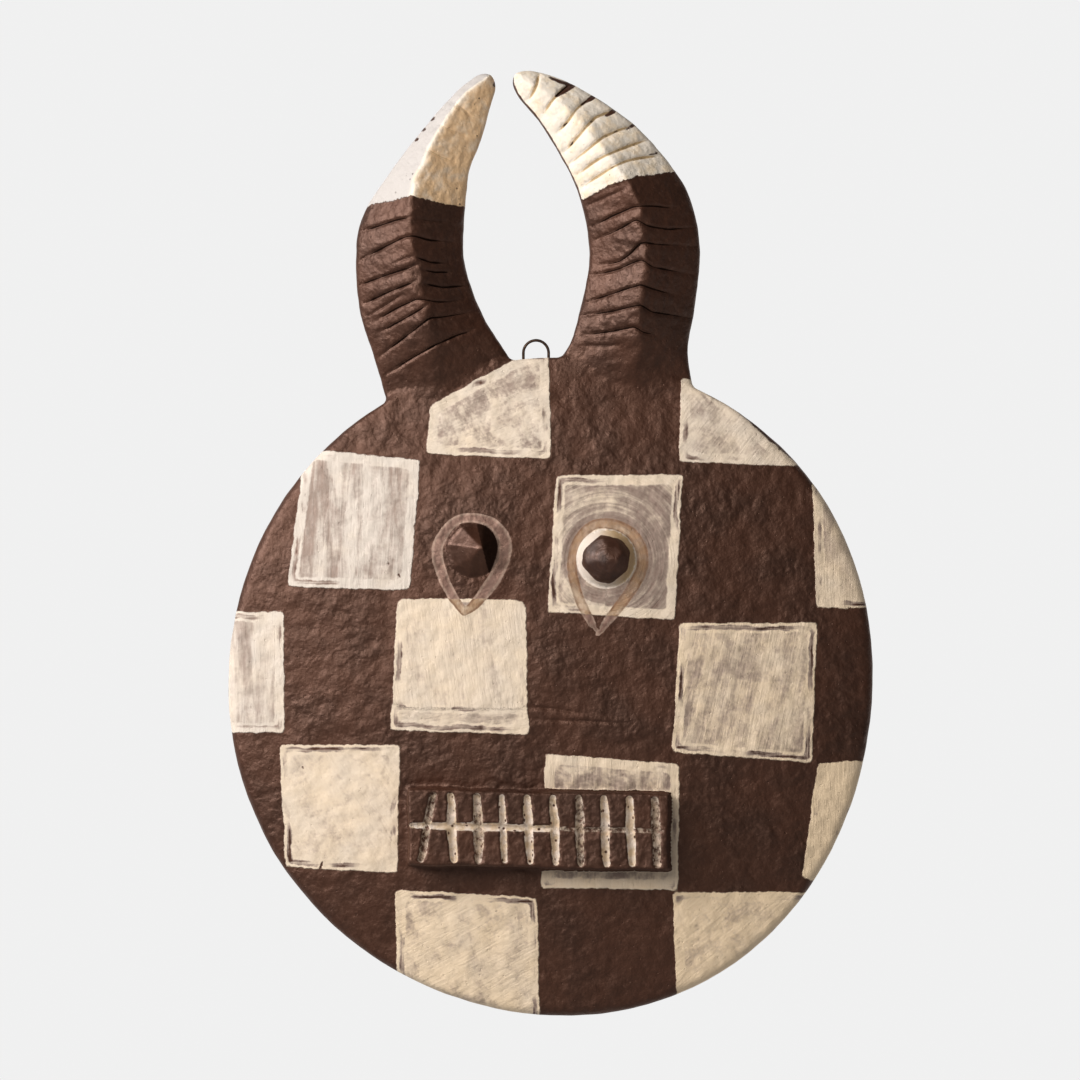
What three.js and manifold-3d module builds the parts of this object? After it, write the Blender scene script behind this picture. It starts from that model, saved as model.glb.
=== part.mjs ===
// A carved wooden wall mask: a round checkered face with two ringed horns, hung on a wire loop.
// Millimetres. +Z is up, the face looks along -Y and +X is to the right of someone facing it.
// The origin is the inner top of the wire loop, where the nail bears.

import * as THREE from 'three';
import { mergeVertices } from 'three/addons/utils/BufferGeometryUtils.js';
import Module from 'manifold-3d';

const wasm = await Module();
wasm.setup();

// Wire loop
const wireDiameter = 1.4;
const wireClearance = 0.3;
const loopWidth = 12.3;
const loopRise = 7.6;
const legDepth = 11;
const wireToWall = 5;

// Round face
const faceRadius = 159.3;
const faceOffset = 8.1;
const rimThickness = 14;
const domeRise = 17;
const frontRound = 4;
const backRound = 1.5;

// Hollow back
const backRimWidth = 30;
const hollowDepth = 13;
const hollowSlope = 16;

// Horns
const hornHeight = 140;
const hornKeel = 31;
const hornEdge = 13;
const ringDepth = 1.7;
const ringWidth = 3.2;
const ringFall = 8;

// Eye knobs
const knobRadius = 13;
const knobHeight = 13;
const knobSink = 4;

// Mouth block
const mouthWidth = 127.5;
const mouthHeight = 38.5;
const mouthRise = 11;
const mouthBevel = 1.6;
const mouthOffset = 6.8;
const mouthDrop = 69.5;
const toothCount = 10;
const toothPitch = 12.35;
const toothOffset = 1.4;
const toothWidth = 4.6;
const toothLength = 34.5;
const toothDepth = 3.4;
const biteWidth = 4;
const biteDepth = 2.8;

// Depths are measured forwards from the back plane, which lies flat on the wall.
const backY = wireToWall;
const saddleZ = -loopRise;

// Hand-cut outline of the face: a circle with small waves, as shares of its radius.
const faceWaves = [
	{ count: 2, share: 0.0103, turn: - 171 },
	{ count: 3, share: 0.0079, turn: 145 },
	{ count: 4, share: 0.0053, turn: 137 },
];

function faceEdge( angle ) {

	return faceWaves.reduce( ( radius, { count, share, turn } ) =>
		radius + faceRadius * share * Math.cos( count * angle - THREE.MathUtils.degToRad( turn ) ), faceRadius );

}

const faceCentre = new THREE.Vector2( faceOffset, saddleZ - faceEdge( Math.PI / 2 ) );

// Thickness of the face at a share of the way from its centre to its edge.
function faceThickness( share ) {

	const domePower = 2.2;
	return rimThickness + domeRise * ( 1 - Math.min( share, 1 ) ** domePower );

}

// Thickness of the face under a point, measured from the face's centre.
function faceThicknessAt( x, z ) {

	return faceThickness( Math.hypot( x, z ) / faceEdge( Math.atan2( z, x ) ) );

}

// Closed solid through a row of rings with equal numbers of points, with its faces turned outwards.
function loft( rings ) {

	const size = rings[ 0 ].length;
	const middle = ( ring ) => ring.reduce( ( sum, p ) => sum.add( p ), new THREE.Vector3() ).divideScalar( size );
	const points = [ ...rings.flat(), middle( rings[ 0 ] ), middle( rings.at( - 1 ) ) ];
	const firstCap = points.length - 2;
	const lastCap = points.length - 1;
	const last = ( rings.length - 1 ) * size;
	const faces = [];
	for ( let i = 0; i < size; i ++ ) {

		const j = ( i + 1 ) % size;
		faces.push( [ firstCap, j, i ], [ lastCap, last + i, last + j ] );
		for ( let row = 0; row < last; row += size ) {

			faces.push( [ row + i, row + j, row + size + i ], [ row + j, row + size + j, row + size + i ] );

		}

	}

	const volume = faces.reduce(
		( sum, [ a, b, c ] ) => sum + points[ a ].dot( points[ b ].clone().cross( points[ c ] ) ), 0 );
	if ( volume < 0 ) faces.forEach( ( face ) => face.reverse() );

	const geometry = new THREE.BufferGeometry();
	geometry.setAttribute( 'position', new THREE.Float32BufferAttribute( points.flatMap( ( p ) => p.toArray() ), 3 ) );
	geometry.setIndex( faces.flat() );
	return geometry;

}

// A geometry as a solid that can be cut and joined.
function solid( geometry ) {

	const bare = geometry.clone();
	bare.deleteAttribute( 'normal' );
	bare.deleteAttribute( 'uv' );
	const merged = mergeVertices( bare, 1e-4 );
	return new wasm.Manifold( new wasm.Mesh( {
		numProp: 3,
		vertProperties: new Float32Array( merged.attributes.position.array ),
		triVerts: new Uint32Array( merged.index.array ),
	} ) );

}

function toGeometry( manifold ) {

	const mesh = manifold.getMesh();
	const geometry = new THREE.BufferGeometry();
	geometry.setAttribute( 'position', new THREE.BufferAttribute( mesh.vertProperties, 3 ) );
	geometry.setIndex( new THREE.BufferAttribute( mesh.triVerts, 1 ) );
	geometry.computeVertexNormals();
	return geometry;

}

// A solid that follows the face's outline. Each ring lies at a share of the way out, less an inset.
function makeDish( profile, segments ) {

	return solid( loft( profile.map( ( { share, inset, depth } ) => Array.from( { length: segments }, ( _, i ) => {

		const angle = 2 * Math.PI * i / segments;
		const radius = faceEdge( angle ) * share - inset;
		return new THREE.Vector3(
			faceCentre.x + radius * Math.cos( angle ),
			backY - depth,
			faceCentre.y + radius * Math.sin( angle ) );

	} ) ) ) );

}

// The domed face, from the middle of its front, round its edge, to its flat back.
function makeFace() {

	const segments = 80;
	const edgeSteps = 3;
	const profile = [];
	for ( const share of [ 0.02, 0.22, 0.42, 0.6, 0.76, 0.89 ] ) {

		profile.push( { share, inset: 0, depth: faceThickness( share ) } );

	}

	for ( let i = 0; i <= edgeSteps; i ++ ) {

		const turn = Math.PI / 2 * i / edgeSteps;
		profile.push( {
			share: 1,
			inset: frontRound * ( 1 - Math.sin( turn ) ),
			depth: rimThickness - frontRound * ( 1 - Math.cos( turn ) ),
		} );

	}

	profile.push(
		{ share: 1, inset: 0, depth: backRound },
		{ share: 1, inset: backRound, depth: 0 },
	);
	return makeDish( profile, segments );

}

// A shallow bowl sunk in the back, inside a flat rim.
function makeHollow() {

	const lead = 3;
	return makeDish( [
		{ share: 1, inset: backRimWidth, depth: - lead },
		{ share: 1, inset: backRimWidth, depth: 0 },
		{ share: 1, inset: backRimWidth + hollowSlope * 0.5, depth: hollowDepth * 0.66 },
		{ share: 1, inset: backRimWidth + hollowSlope, depth: hollowDepth * 0.9 },
		{ share: 0.4, inset: 0, depth: hollowDepth },
	], 64 );

}

// Each horn runs through stations from its root in the face to its tip. Left and right are the places of its
// two edges, as shares of the horns' height from the middle of the saddle. Crest is the ridge's place between
// them, and keel and edge are the thickness at the ridge and at the edges, as shares of the largest.
const leftHorn = {
	stations: [
		{ left: [ - 0.5, - 0.22 ], right: [ - 0.045, - 0.07 ], crest: 0.44, keel: 0.46, edge: 0.7 },
		{ left: [ - 0.566, 0.003 ], right: [ - 0.125, 0.05 ], crest: 0.46, keel: 0.78, edge: 1 },
		{ left: [ - 0.613, 0.157 ], right: [ - 0.192, 0.164 ], crest: 0.54, keel: 0.98, edge: 1 },
		{ left: [ - 0.627, 0.331 ], right: [ - 0.247, 0.331 ], crest: 0.54, keel: 1, edge: 1 },
		{ left: [ - 0.606, 0.484 ], right: [ - 0.247, 0.491 ], crest: 0.476, keel: 0.96, edge: 0.98 },
		{ left: [ - 0.505, 0.648 ], right: [ - 0.23, 0.645 ], crest: 0.38, keel: 0.82, edge: 0.9 },
		{ left: [ - 0.374, 0.818 ], right: [ - 0.19, 0.756 ], crest: 0.26, keel: 0.64, edge: 0.74 },
		{ left: [ - 0.272, 0.93 ], right: [ - 0.156, 0.873 ], crest: 0.26, keel: 0.46, edge: 0.56 },
		{ left: [ - 0.186, 1 ], right: [ - 0.13, 0.965 ], crest: 0.5, keel: 0.32, edge: 0.42 },
	],
	rings: [ 1.2, 1.55, 2.16, 2.41, 2.67, 2.98, 3.5, 3.92, 5.44, 6.05, 6.7 ],
};
const rightHorn = {
	stations: [
		{ left: [ 0.036, - 0.07 ], right: [ 0.56, - 0.2 ], crest: 0.48, keel: 0.46, edge: 0.7 },
		{ left: [ 0.115, 0.045 ], right: [ 0.53, 0.017 ], crest: 0.58, keel: 0.8, edge: 1 },
		{ left: [ 0.153, 0.171 ], right: [ 0.551, 0.157 ], crest: 0.52, keel: 0.98, edge: 1 },
		{ left: [ 0.183, 0.331 ], right: [ 0.571, 0.331 ], crest: 0.51, keel: 1, edge: 1 },
		{ left: [ 0.174, 0.456 ], right: [ 0.561, 0.463 ], crest: 0.495, keel: 1, edge: 1 },
		{ left: [ 0.139, 0.589 ], right: [ 0.509, 0.61 ], crest: 0.5, keel: 0.94, edge: 0.96 },
		{ left: [ 0.077, 0.711 ], right: [ 0.362, 0.791 ], crest: 0.46, keel: 0.8, edge: 0.88 },
		{ left: [ 0.007, 0.822 ], right: [ 0.195, 0.913 ], crest: 0.5, keel: 0.62, edge: 0.72 },
		{ left: [ - 0.059, 0.899 ], right: [ 0.066, 0.976 ], crest: 0.5, keel: 0.46, edge: 0.56 },
		{ left: [ - 0.094, 0.966 ], right: [ - 0.05, 1.006 ], crest: 0.5, keel: 0.32, edge: 0.42 },
	],
	rings: [ 1.08, 1.58, 2.02, 2.5, 3, 3.5, 4.02, 4.46, 5.35, 5.62, 5.92, 6.35, 6.8, 7.35, 8.1 ],
};

// Smooth values along a horn: its two edges, its ridge and its thicknesses.
function hornCurves( horn ) {

	const curve = ( pick ) => new THREE.CatmullRomCurve3(
		horn.stations.map( ( station ) => new THREE.Vector3( ...pick( station ) ) ), false, 'catmullrom' );
	const left = curve( ( { left } ) => [ left[ 0 ], 0, left[ 1 ] ] );
	const right = curve( ( { right } ) => [ right[ 0 ], 0, right[ 1 ] ] );
	const shape = curve( ( { crest, keel, edge } ) => [ crest, keel, edge ] );
	const last = horn.stations.length - 1;
	return ( station ) => {

		const t = THREE.MathUtils.clamp( station / last, 0, 1 );
		const { x: crest, y: keel, z: edge } = shape.getPoint( t );
		return { left: left.getPoint( t ), right: right.getPoint( t ), crest, keel, edge };

	};

}

// One horn: a ridged section, flat behind, drawn through the stations, with a cut ring at each of its rings.
// The rings fall from the ridge towards the left edge. Across runs from -1, the left edge, to 1, the right.
function makeHorn( horn ) {

	const at = hornCurves( horn );
	const last = horn.stations.length - 1;
	const stationLength = hornHeight * 1.25 / last;
	const halfRing = ringWidth / 2 / stationLength;
	const fall = ringFall / stationLength;
	const section = [
		{ across: - 0.95, back: 0 }, { across: - 1, back: 0.2 }, { across: - 1, back: 0.75 },
		{ across: - 0.93 }, { across: - 0.62 }, { across: - 0.3 }, { across: 0 },
		{ across: 0.3 }, { across: 0.62 }, { across: 0.93 },
		{ across: 1, back: 0.75 }, { across: 1, back: 0.2 }, { across: 0.95, back: 0 },
	];

	const places = [ { at: 0, cut: 0 }, { at: 0.5, cut: 0 }, { at: last, cut: 0 } ];
	for ( const ring of horn.rings ) {

		places.push( { at: ring - halfRing, cut: 0 }, { at: ring, cut: 1 }, { at: ring + halfRing, cut: 0 } );

	}

	places.push( ...[ 4.95, last - 0.3 ].map( ( station ) => ( { at: station, cut: 0 } ) ) );
	places.sort( ( a, b ) => a.at - b.at );

	const rings = places.map( ( place ) => section.map( ( { across, back } ) => {

		const ends = Math.min( 1, place.at, ( last - place.at ) / 1.5 );
		const drop = across < 0 ? - across * fall * ends : 0;
		const { left, right, crest, keel, edge } = at( place.at - drop );
		const tip = Math.min( 1, Math.sqrt( Math.max( 0.3, ( last - place.at ) / 0.3 ) ) );
		const side = across < 0 ? left : right;
		const ridge = left.clone().lerp( right, crest );
		const spot = ridge.clone().lerp( side, Math.abs( across ) * tip );
		const edgeDepth = hornEdge * edge;
		const rise = ( hornKeel * keel - edgeDepth ) * ( 1 - Math.abs( across ) ) ** 0.9;
		const cut = place.cut * ringDepth * Math.min( 1, keel + 0.2 );
		if ( back !== undefined ) {

			const notch = spot.clone().sub( ridge ).setLength( - cut * 0.5 * back ).divideScalar( hornHeight );
			if ( cut > 0 ) spot.add( notch );
			return new THREE.Vector3( spot.x * hornHeight, backY - edgeDepth * back, saddleZ + spot.z * hornHeight );

		}

		return new THREE.Vector3(
			spot.x * hornHeight,
			backY - edgeDepth - rise + cut,
			saddleZ + spot.z * hornHeight );

	} ) );
	return solid( loft( rings ) );

}

// Eye knobs: low whittled cones. Places are from the middle of the face, as shares of its radius.
const knobs = [
	{ at: [ - 0.239, 0.411 ], turn: 0.35, size: 1, apex: [ - 0.12, 0.2 ] },
	{ at: [ 0.163, 0.386 ], turn: 0.1, size: 1.04, apex: [ - 0.15, 0.15 ] },
];

function makeKnob( { at, turn, size, apex } ) {

	const x = at[ 0 ] * faceRadius;
	const z = at[ 1 ] * faceRadius;
	const seat = backY - faceThicknessAt( x, z );
	const facets = 7;
	const rings = [
		{ width: 1.02, height: - knobSink, shift: 0 },
		{ width: 1.02, height: 0, shift: 0 },
		{ width: 0.78, height: 0.5 * knobHeight, shift: 0.3 },
		{ width: 0.4, height: 0.86 * knobHeight, shift: 0.8 },
		{ width: 0.06, height: knobHeight, shift: 1 },
	].map( ( { width, height, shift } ) => Array.from( { length: facets }, ( _, i ) => {

		const angle = turn + 2 * Math.PI * i / facets;
		const reach = knobRadius * size;
		return new THREE.Vector3(
			faceCentre.x + x + reach * ( width * Math.cos( angle ) + shift * apex[ 0 ] ),
			seat - height,
			faceCentre.y + z + reach * ( width * Math.sin( angle ) + shift * apex[ 1 ] ) );

	} ) );
	return solid( loft( rings ) );

}

// A straight cut with a V section, from one point of the mouth to another, sunk into its front.
function makeCut( from, to, width, depth, frontY ) {

	const lead = 1;
	const slope = ( depth + lead ) / depth;
	const section = new THREE.Shape();
	section.moveTo( - width / 2 * slope, lead );
	section.lineTo( - width / 5, - depth );
	section.lineTo( width / 5, - depth );
	section.lineTo( width / 2 * slope, lead );
	const along = to.clone().sub( from );
	const geometry = new THREE.ExtrudeGeometry( section, { depth: along.length(), bevelEnabled: false, steps: 1 } );
	const forwards = new THREE.Vector3( 0, - 1, 0 );
	const direction = new THREE.Vector3( along.x, 0, along.y ).normalize();
	const across = forwards.clone().cross( direction );
	geometry.applyMatrix4( new THREE.Matrix4().makeBasis( across, forwards, direction ) );
	geometry.translate( from.x, frontY, from.y );
	return solid( geometry );

}

// The mouth: a raised oblong block with a row of upright cuts and one bite line across them.
function makeMouth() {

	const middle = new THREE.Vector2( faceCentre.x - mouthOffset, faceCentre.y - mouthDrop );
	const lean = 0.021;
	const place = ( x, z ) => new THREE.Vector2( middle.x + x, middle.y + z - lean * x );
	const halfWidth = mouthWidth / 2 - mouthBevel;
	const halfHeight = mouthHeight / 2 - mouthBevel;
	const outline = new THREE.Shape( [
		place( - halfWidth, - halfHeight ), place( halfWidth, - halfHeight ),
		place( halfWidth, halfHeight ), place( - halfWidth, halfHeight ),
	] );
	const seatDepth = hollowDepth + 4;
	const front = faceThicknessAt( middle.x - faceCentre.x, middle.y - faceCentre.y ) + mouthRise;
	const geometry = new THREE.ExtrudeGeometry( outline, {
		depth: front - seatDepth - 2 * mouthBevel,
		bevelSize: mouthBevel,
		bevelThickness: mouthBevel,
		bevelSegments: 2,
	} );
	geometry.rotateX( Math.PI / 2 );
	geometry.translate( 0, backY - seatDepth - mouthBevel, 0 );
	let mouth = solid( geometry );

	const frontY = backY - front;
	const first = toothOffset - toothPitch * ( toothCount - 1 ) / 2;
	for ( let i = 0; i < toothCount; i ++ ) {

		const x = first + i * toothPitch;
		const tilt = i === 0 ? - 2.4 : 0.6;
		mouth = mouth.subtract( makeCut(
			place( x - tilt, toothLength / 2 ), place( x + tilt, - toothLength / 2 ),
			toothWidth, toothDepth, frontY ) );

	}

	return mouth.subtract( makeCut(
		place( - mouthWidth / 2 - 1, 0 ), place( mouthWidth / 2 - 2, 0 ),
		biteWidth, biteDepth, frontY ) );

}

// Blind holes for the wire's legs, drilled down into the top edge between the horns.
function makeLegHole( x ) {

	const mouthLead = 12;
	const length = legDepth + wireClearance + mouthLead;
	const geometry = new THREE.CylinderGeometry(
		wireDiameter / 2 + wireClearance, wireDiameter / 2 + wireClearance, length, 12 );
	geometry.rotateX( Math.PI / 2 );
	geometry.translate( x, 0, saddleZ - legDepth - wireClearance + length / 2 );
	return solid( geometry );

}

function makeMask() {

	let mask = makeFace().add( makeHorn( leftHorn ) ).add( makeHorn( rightHorn ) ).add( makeMouth() );
	mask = mask.subtract( makeHollow() );
	for ( const knob of knobs ) mask = mask.add( makeKnob( knob ) );
	for ( const side of [ - 1, 1 ] ) mask = mask.subtract( makeLegHole( side * loopWidth / 2 ) );
	return toGeometry( mask );

}

// The wire's middle line: one leg up, a half turn over the nail, and the other leg down.
class WireRoute extends THREE.Curve {

	getPoint( t, target = new THREE.Vector3() ) {

		const bend = loopWidth / 2;
		const bendZ = wireDiameter / 2 - bend;
		const leg = bendZ - saddleZ + legDepth;
		const turn = Math.PI * bend;
		const gone = t * ( 2 * leg + turn );
		if ( gone < leg ) return target.set( - bend, 0, bendZ - leg + gone );
		if ( gone > leg + turn ) return target.set( bend, 0, bendZ - ( gone - leg - turn ) );
		const angle = Math.PI - ( gone - leg ) / bend;
		return target.set( bend * Math.cos( angle ), 0, bendZ + bend * Math.sin( angle ) );

	}

}

function makeWire() {

	const section = new THREE.Shape().absarc( 0, 0, wireDiameter / 2, 0, 2 * Math.PI );
	return new THREE.ExtrudeGeometry( section, { extrudePath: new WireRoute(), steps: 32, curveSegments: 8 } );

}

const wood = new THREE.MeshStandardMaterial( { name: 'painted_wood', color: 0x54392e, roughness: 0.75, metalness: 0 } );
const wire = new THREE.MeshStandardMaterial( { name: 'wire', color: 0x4a3a30, roughness: 0.5, metalness: 0.8 } );

const group = new THREE.Group();
const body = new THREE.Mesh( makeMask(), wood );
body.name = 'mask_body';
const loop = new THREE.Mesh( makeWire(), wire );
loop.name = 'hanging_wire';
group.add( body, loop );

export default group;
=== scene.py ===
"""Looks of a carved and painted wooden wall mask with ringed horns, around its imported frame.

Lengths inside this script are millimetres in the frame's axes, and become metres when a mesh is made.
"""
import math

import bpy
import numpy as np
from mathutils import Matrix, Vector
from mathutils.geometry import delaunay_2d_cdt
from mathutils.kdtree import KDTree


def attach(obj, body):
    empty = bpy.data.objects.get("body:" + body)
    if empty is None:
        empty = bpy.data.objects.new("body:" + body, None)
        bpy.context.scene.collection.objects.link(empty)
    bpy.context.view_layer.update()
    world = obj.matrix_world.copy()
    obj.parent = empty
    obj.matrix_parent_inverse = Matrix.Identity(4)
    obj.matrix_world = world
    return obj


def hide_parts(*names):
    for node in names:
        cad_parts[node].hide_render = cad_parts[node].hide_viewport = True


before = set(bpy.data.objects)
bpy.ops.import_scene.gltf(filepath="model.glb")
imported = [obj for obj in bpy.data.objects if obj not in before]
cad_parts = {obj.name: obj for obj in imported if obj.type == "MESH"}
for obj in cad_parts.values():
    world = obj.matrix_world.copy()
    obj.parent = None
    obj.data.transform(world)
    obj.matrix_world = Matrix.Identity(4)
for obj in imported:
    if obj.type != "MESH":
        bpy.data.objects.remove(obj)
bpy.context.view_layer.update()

METRE = 0.001

# Wire loop
WIRE_DIAMETER = 1.4
LOOP_WIDTH = 12.3
LOOP_RISE = 7.6
LEG_DEPTH = 11
WIRE_TO_WALL = 5

# Round face
FACE_RADIUS = 159.3
FACE_OFFSET = 8.1
RIM_THICKNESS = 14
DOME_RISE = 17
DOME_POWER = 2.2
FRONT_ROUND = 4
HORN_ROUND = 1.6
BACK_ROUND = 1.5
FACE_WAVES = ((2, 0.0103, -171), (3, 0.0079, 145), (4, 0.0053, 137))

# Hollow back
BACK_RIM_WIDTH = 30
HOLLOW_DEPTH = 13
HOLLOW_SLOPE = 16

# Horns
HORN_HEIGHT = 140
HORN_KEEL = 31
HORN_EDGE = 13

# Eye knobs
KNOB_RADIUS = 13
KNOB_HEIGHT = 13

# Mouth block
MOUTH_WIDTH = 127.5
MOUTH_HEIGHT = 38.5
MOUTH_RISE = 11
MOUTH_OFFSET = 6.8
MOUTH_DROP = 69.5
MOUTH_LEAN = 0.021
TOOTH_COUNT = 10
TOOTH_PITCH = 12.35
TOOTH_OFFSET = 1.4
TOOTH_WIDTH = 4.6
TOOTH_LENGTH = 34.5
TOOTH_DEPTH = 2.2
BITE_WIDTH = 4
BITE_DEPTH = 2.8

# The photograph's frame: 1080 pixels square, this many millimetres a pixel, and the pixel of the origin.
PHOTO_SIZE = 1080
PIXEL = 0.487
ORIGIN_PIXEL = (536, 341.8)
VIEW_DISTANCE = 6000
SURFACE_DEPTH = 24

# No part of the front stands further from the back than this
DEEPEST = 41.4

# Spacing of the mesh's points round the outline, and the rows of faces between front and back
OUTLINE_SPACING = 1.25
WALL_ROWS = 4

BACK_Y = WIRE_TO_WALL
SADDLE_Z = -LOOP_RISE


def pixel(x, y, depth=0):
    """The place in mm across and up that a pixel of the photograph shows, this far in front of the origin."""
    nearer = 1 - depth / VIEW_DISTANCE
    middle = PHOTO_SIZE / 2
    return ((middle - ORIGIN_PIXEL[0] + (x - middle) * nearer) * PIXEL,
            (ORIGIN_PIXEL[1] - middle - (y - middle) * nearer) * PIXEL)


def on_surface(spots):
    """Places in mm on the mask's front that these pixels of the photograph show."""
    return np.array([pixel(*spot, SURFACE_DEPTH) for spot in spots])


# Smooth noise on the plane, made from hashed gradients, the same on every run


def hashed(ix, iz, seed):
    """A number from 0 to 1 for a cell of the plane, the same each time for the same seed."""
    mixed = (ix * 374761393 + iz * 668265263 + seed * 974634777) & 0xFFFFFFFF
    mixed = ((mixed ^ (mixed >> 13)) * 1274126177) & 0xFFFFFFFF
    return ((mixed ^ (mixed >> 16)) & 0xFFFF) / 65536


def noise(x, z, cell, seed):
    """Gradient noise from about -1 to 1 with features of the given size."""
    u, v = x / cell, z / cell
    ix, iz = np.floor(u).astype(np.int64), np.floor(v).astype(np.int64)
    fu, fv = u - ix, v - iz
    su, sv = fu ** 3 * (fu * (fu * 6 - 15) + 10), fv ** 3 * (fv * (fv * 6 - 15) + 10)

    def corner(dx, dz):
        turn = 2 * np.pi * hashed(ix + dx, iz + dz, seed)
        return np.cos(turn) * (fu - dx) + np.sin(turn) * (fv - dz)

    low = corner(0, 0) * (1 - su) + corner(1, 0) * su
    high = corner(0, 1) * (1 - su) + corner(1, 1) * su
    return 1.6 * (low * (1 - sv) + high * sv)


def scoops(x, z, cell, seed):
    """Shallow overlapping scoops of a hand tool: 0 at each scoop's middle, rising to ridges between them."""
    ix, iz = np.floor(x / cell).astype(np.int64), np.floor(z / cell).astype(np.int64)
    nearest = np.full(np.shape(x), 9.0)
    for dx in (-1, 0, 1):
        for dz in (-1, 0, 1):
            px = (ix + dx + hashed(ix + dx, iz + dz, seed)) * cell
            pz = (iz + dz + hashed(ix + dx, iz + dz, seed + 7)) * cell
            nearest = np.minimum(nearest, ((x - px) ** 2 + (z - pz) ** 2) / cell ** 2)
    return nearest


def smoothstep(value, low, high):
    t = np.clip((value - low) / (high - low), 0, 1)
    return t * t * (3 - 2 * t)


def smooth_max(a, b, blend):
    mix = np.clip(0.5 + 0.5 * (a - b) / blend, 0, 1)
    return b * (1 - mix) + a * mix + blend * mix * (1 - mix)


def smooth_min(a, b, blend):
    return -smooth_max(-a, -b, blend)


def to_stretch(x, z, a, b):
    """Share of the way from a to b that is nearest to each point, and how far off it lies."""
    run_x, run_z = b[0] - a[0], b[1] - a[1]
    share = np.clip(((x - a[0]) * run_x + (z - a[1]) * run_z) / (run_x ** 2 + run_z ** 2), 0, 1)
    return share, np.hypot(x - a[0] - run_x * share, z - a[1] - run_z * share)


# Form of the face


def face_edge(angle):
    radius = FACE_RADIUS
    for count, share, turn in FACE_WAVES:
        radius = radius + FACE_RADIUS * share * np.cos(count * angle - math.radians(turn))
    return radius


FACE_X = FACE_OFFSET
FACE_Z = SADDLE_Z - float(face_edge(math.pi / 2))


def face_polar(x, z):
    """Distance from the middle of the face, and the edge's distance in that direction."""
    return np.hypot(x - FACE_X, z - FACE_Z), face_edge(np.arctan2(z - FACE_Z, x - FACE_X))


def face_thickness(x, z):
    reach, edge = face_polar(x, z)
    share = reach / edge
    dome = RIM_THICKNESS + DOME_RISE * (1 - np.minimum(share, 1) ** DOME_POWER)
    return dome - np.maximum(reach - edge, 0) * 2


# Form of the horns. Stations run from root to tip, as shares of the horns' height. The paint line is the
# lower edge of the cream, in the photograph's pixels.

LEFT_HORN = dict(
    seed=11,
    paint_line=((366, 207), (375, 203), (388, 201), (412, 195), (430, 200), (465, 207)),
    left=((-0.5, -0.22), (-0.566, 0.003), (-0.613, 0.157), (-0.627, 0.331), (-0.606, 0.484), (-0.505, 0.648),
          (-0.374, 0.818), (-0.272, 0.93), (-0.186, 1)),
    right=((-0.045, -0.07), (-0.125, 0.05), (-0.192, 0.164), (-0.247, 0.331), (-0.247, 0.491), (-0.23, 0.645),
           (-0.19, 0.756), (-0.156, 0.873), (-0.13, 0.965)),
    crest=(0.44, 0.46, 0.54, 0.54, 0.476, 0.38, 0.26, 0.26, 0.5),
    keel=(0.46, 0.78, 0.98, 1, 0.96, 0.82, 0.64, 0.46, 0.32),
    edge=(0.7, 1, 1, 1, 0.98, 0.9, 0.74, 0.56, 0.42),
)
RIGHT_HORN = dict(
    seed=12,
    paint_line=((580, 200), (587, 197), (610, 185), (637, 176), (660, 173), (680, 170)),
    left=((0.036, -0.07), (0.115, 0.045), (0.153, 0.171), (0.183, 0.331), (0.174, 0.456), (0.139, 0.589),
          (0.077, 0.711), (0.007, 0.822), (-0.059, 0.899), (-0.094, 0.966)),
    right=((0.56, -0.2), (0.53, 0.017), (0.551, 0.157), (0.571, 0.331), (0.561, 0.463), (0.509, 0.61),
           (0.362, 0.791), (0.195, 0.913), (0.066, 0.976), (-0.05, 1.006)),
    crest=(0.48, 0.58, 0.52, 0.51, 0.495, 0.5, 0.46, 0.5, 0.5, 0.5),
    keel=(0.46, 0.8, 0.98, 1, 1, 0.94, 0.8, 0.62, 0.46, 0.32),
    edge=(0.7, 1, 1, 1, 1, 0.96, 0.88, 0.72, 0.56, 0.42),
)


def along(values, place):
    """Smooth values at places along evenly numbered stations."""
    values = np.asarray(values, float)
    values = values.reshape(len(values), -1)
    ends = [2 * values[:1] - values[1:2], values, 2 * values[-1:] - values[-2:-1]]
    padded = np.vstack(ends)
    place = np.clip(np.asarray(place, float), 0, len(values) - 1)
    index = np.minimum(place.astype(int), len(values) - 2)
    f = (place - index)[:, None]
    p0, p1, p2, p3 = (padded[index + i] for i in range(4))
    bend = 2 * p0 - 5 * p1 + 4 * p2 - p3
    twist = 3 * p1 - p0 - 3 * p2 + p3
    return 0.5 * (2 * p1 + (p2 - p0) * f + bend * f ** 2 + twist * f ** 3)


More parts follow.
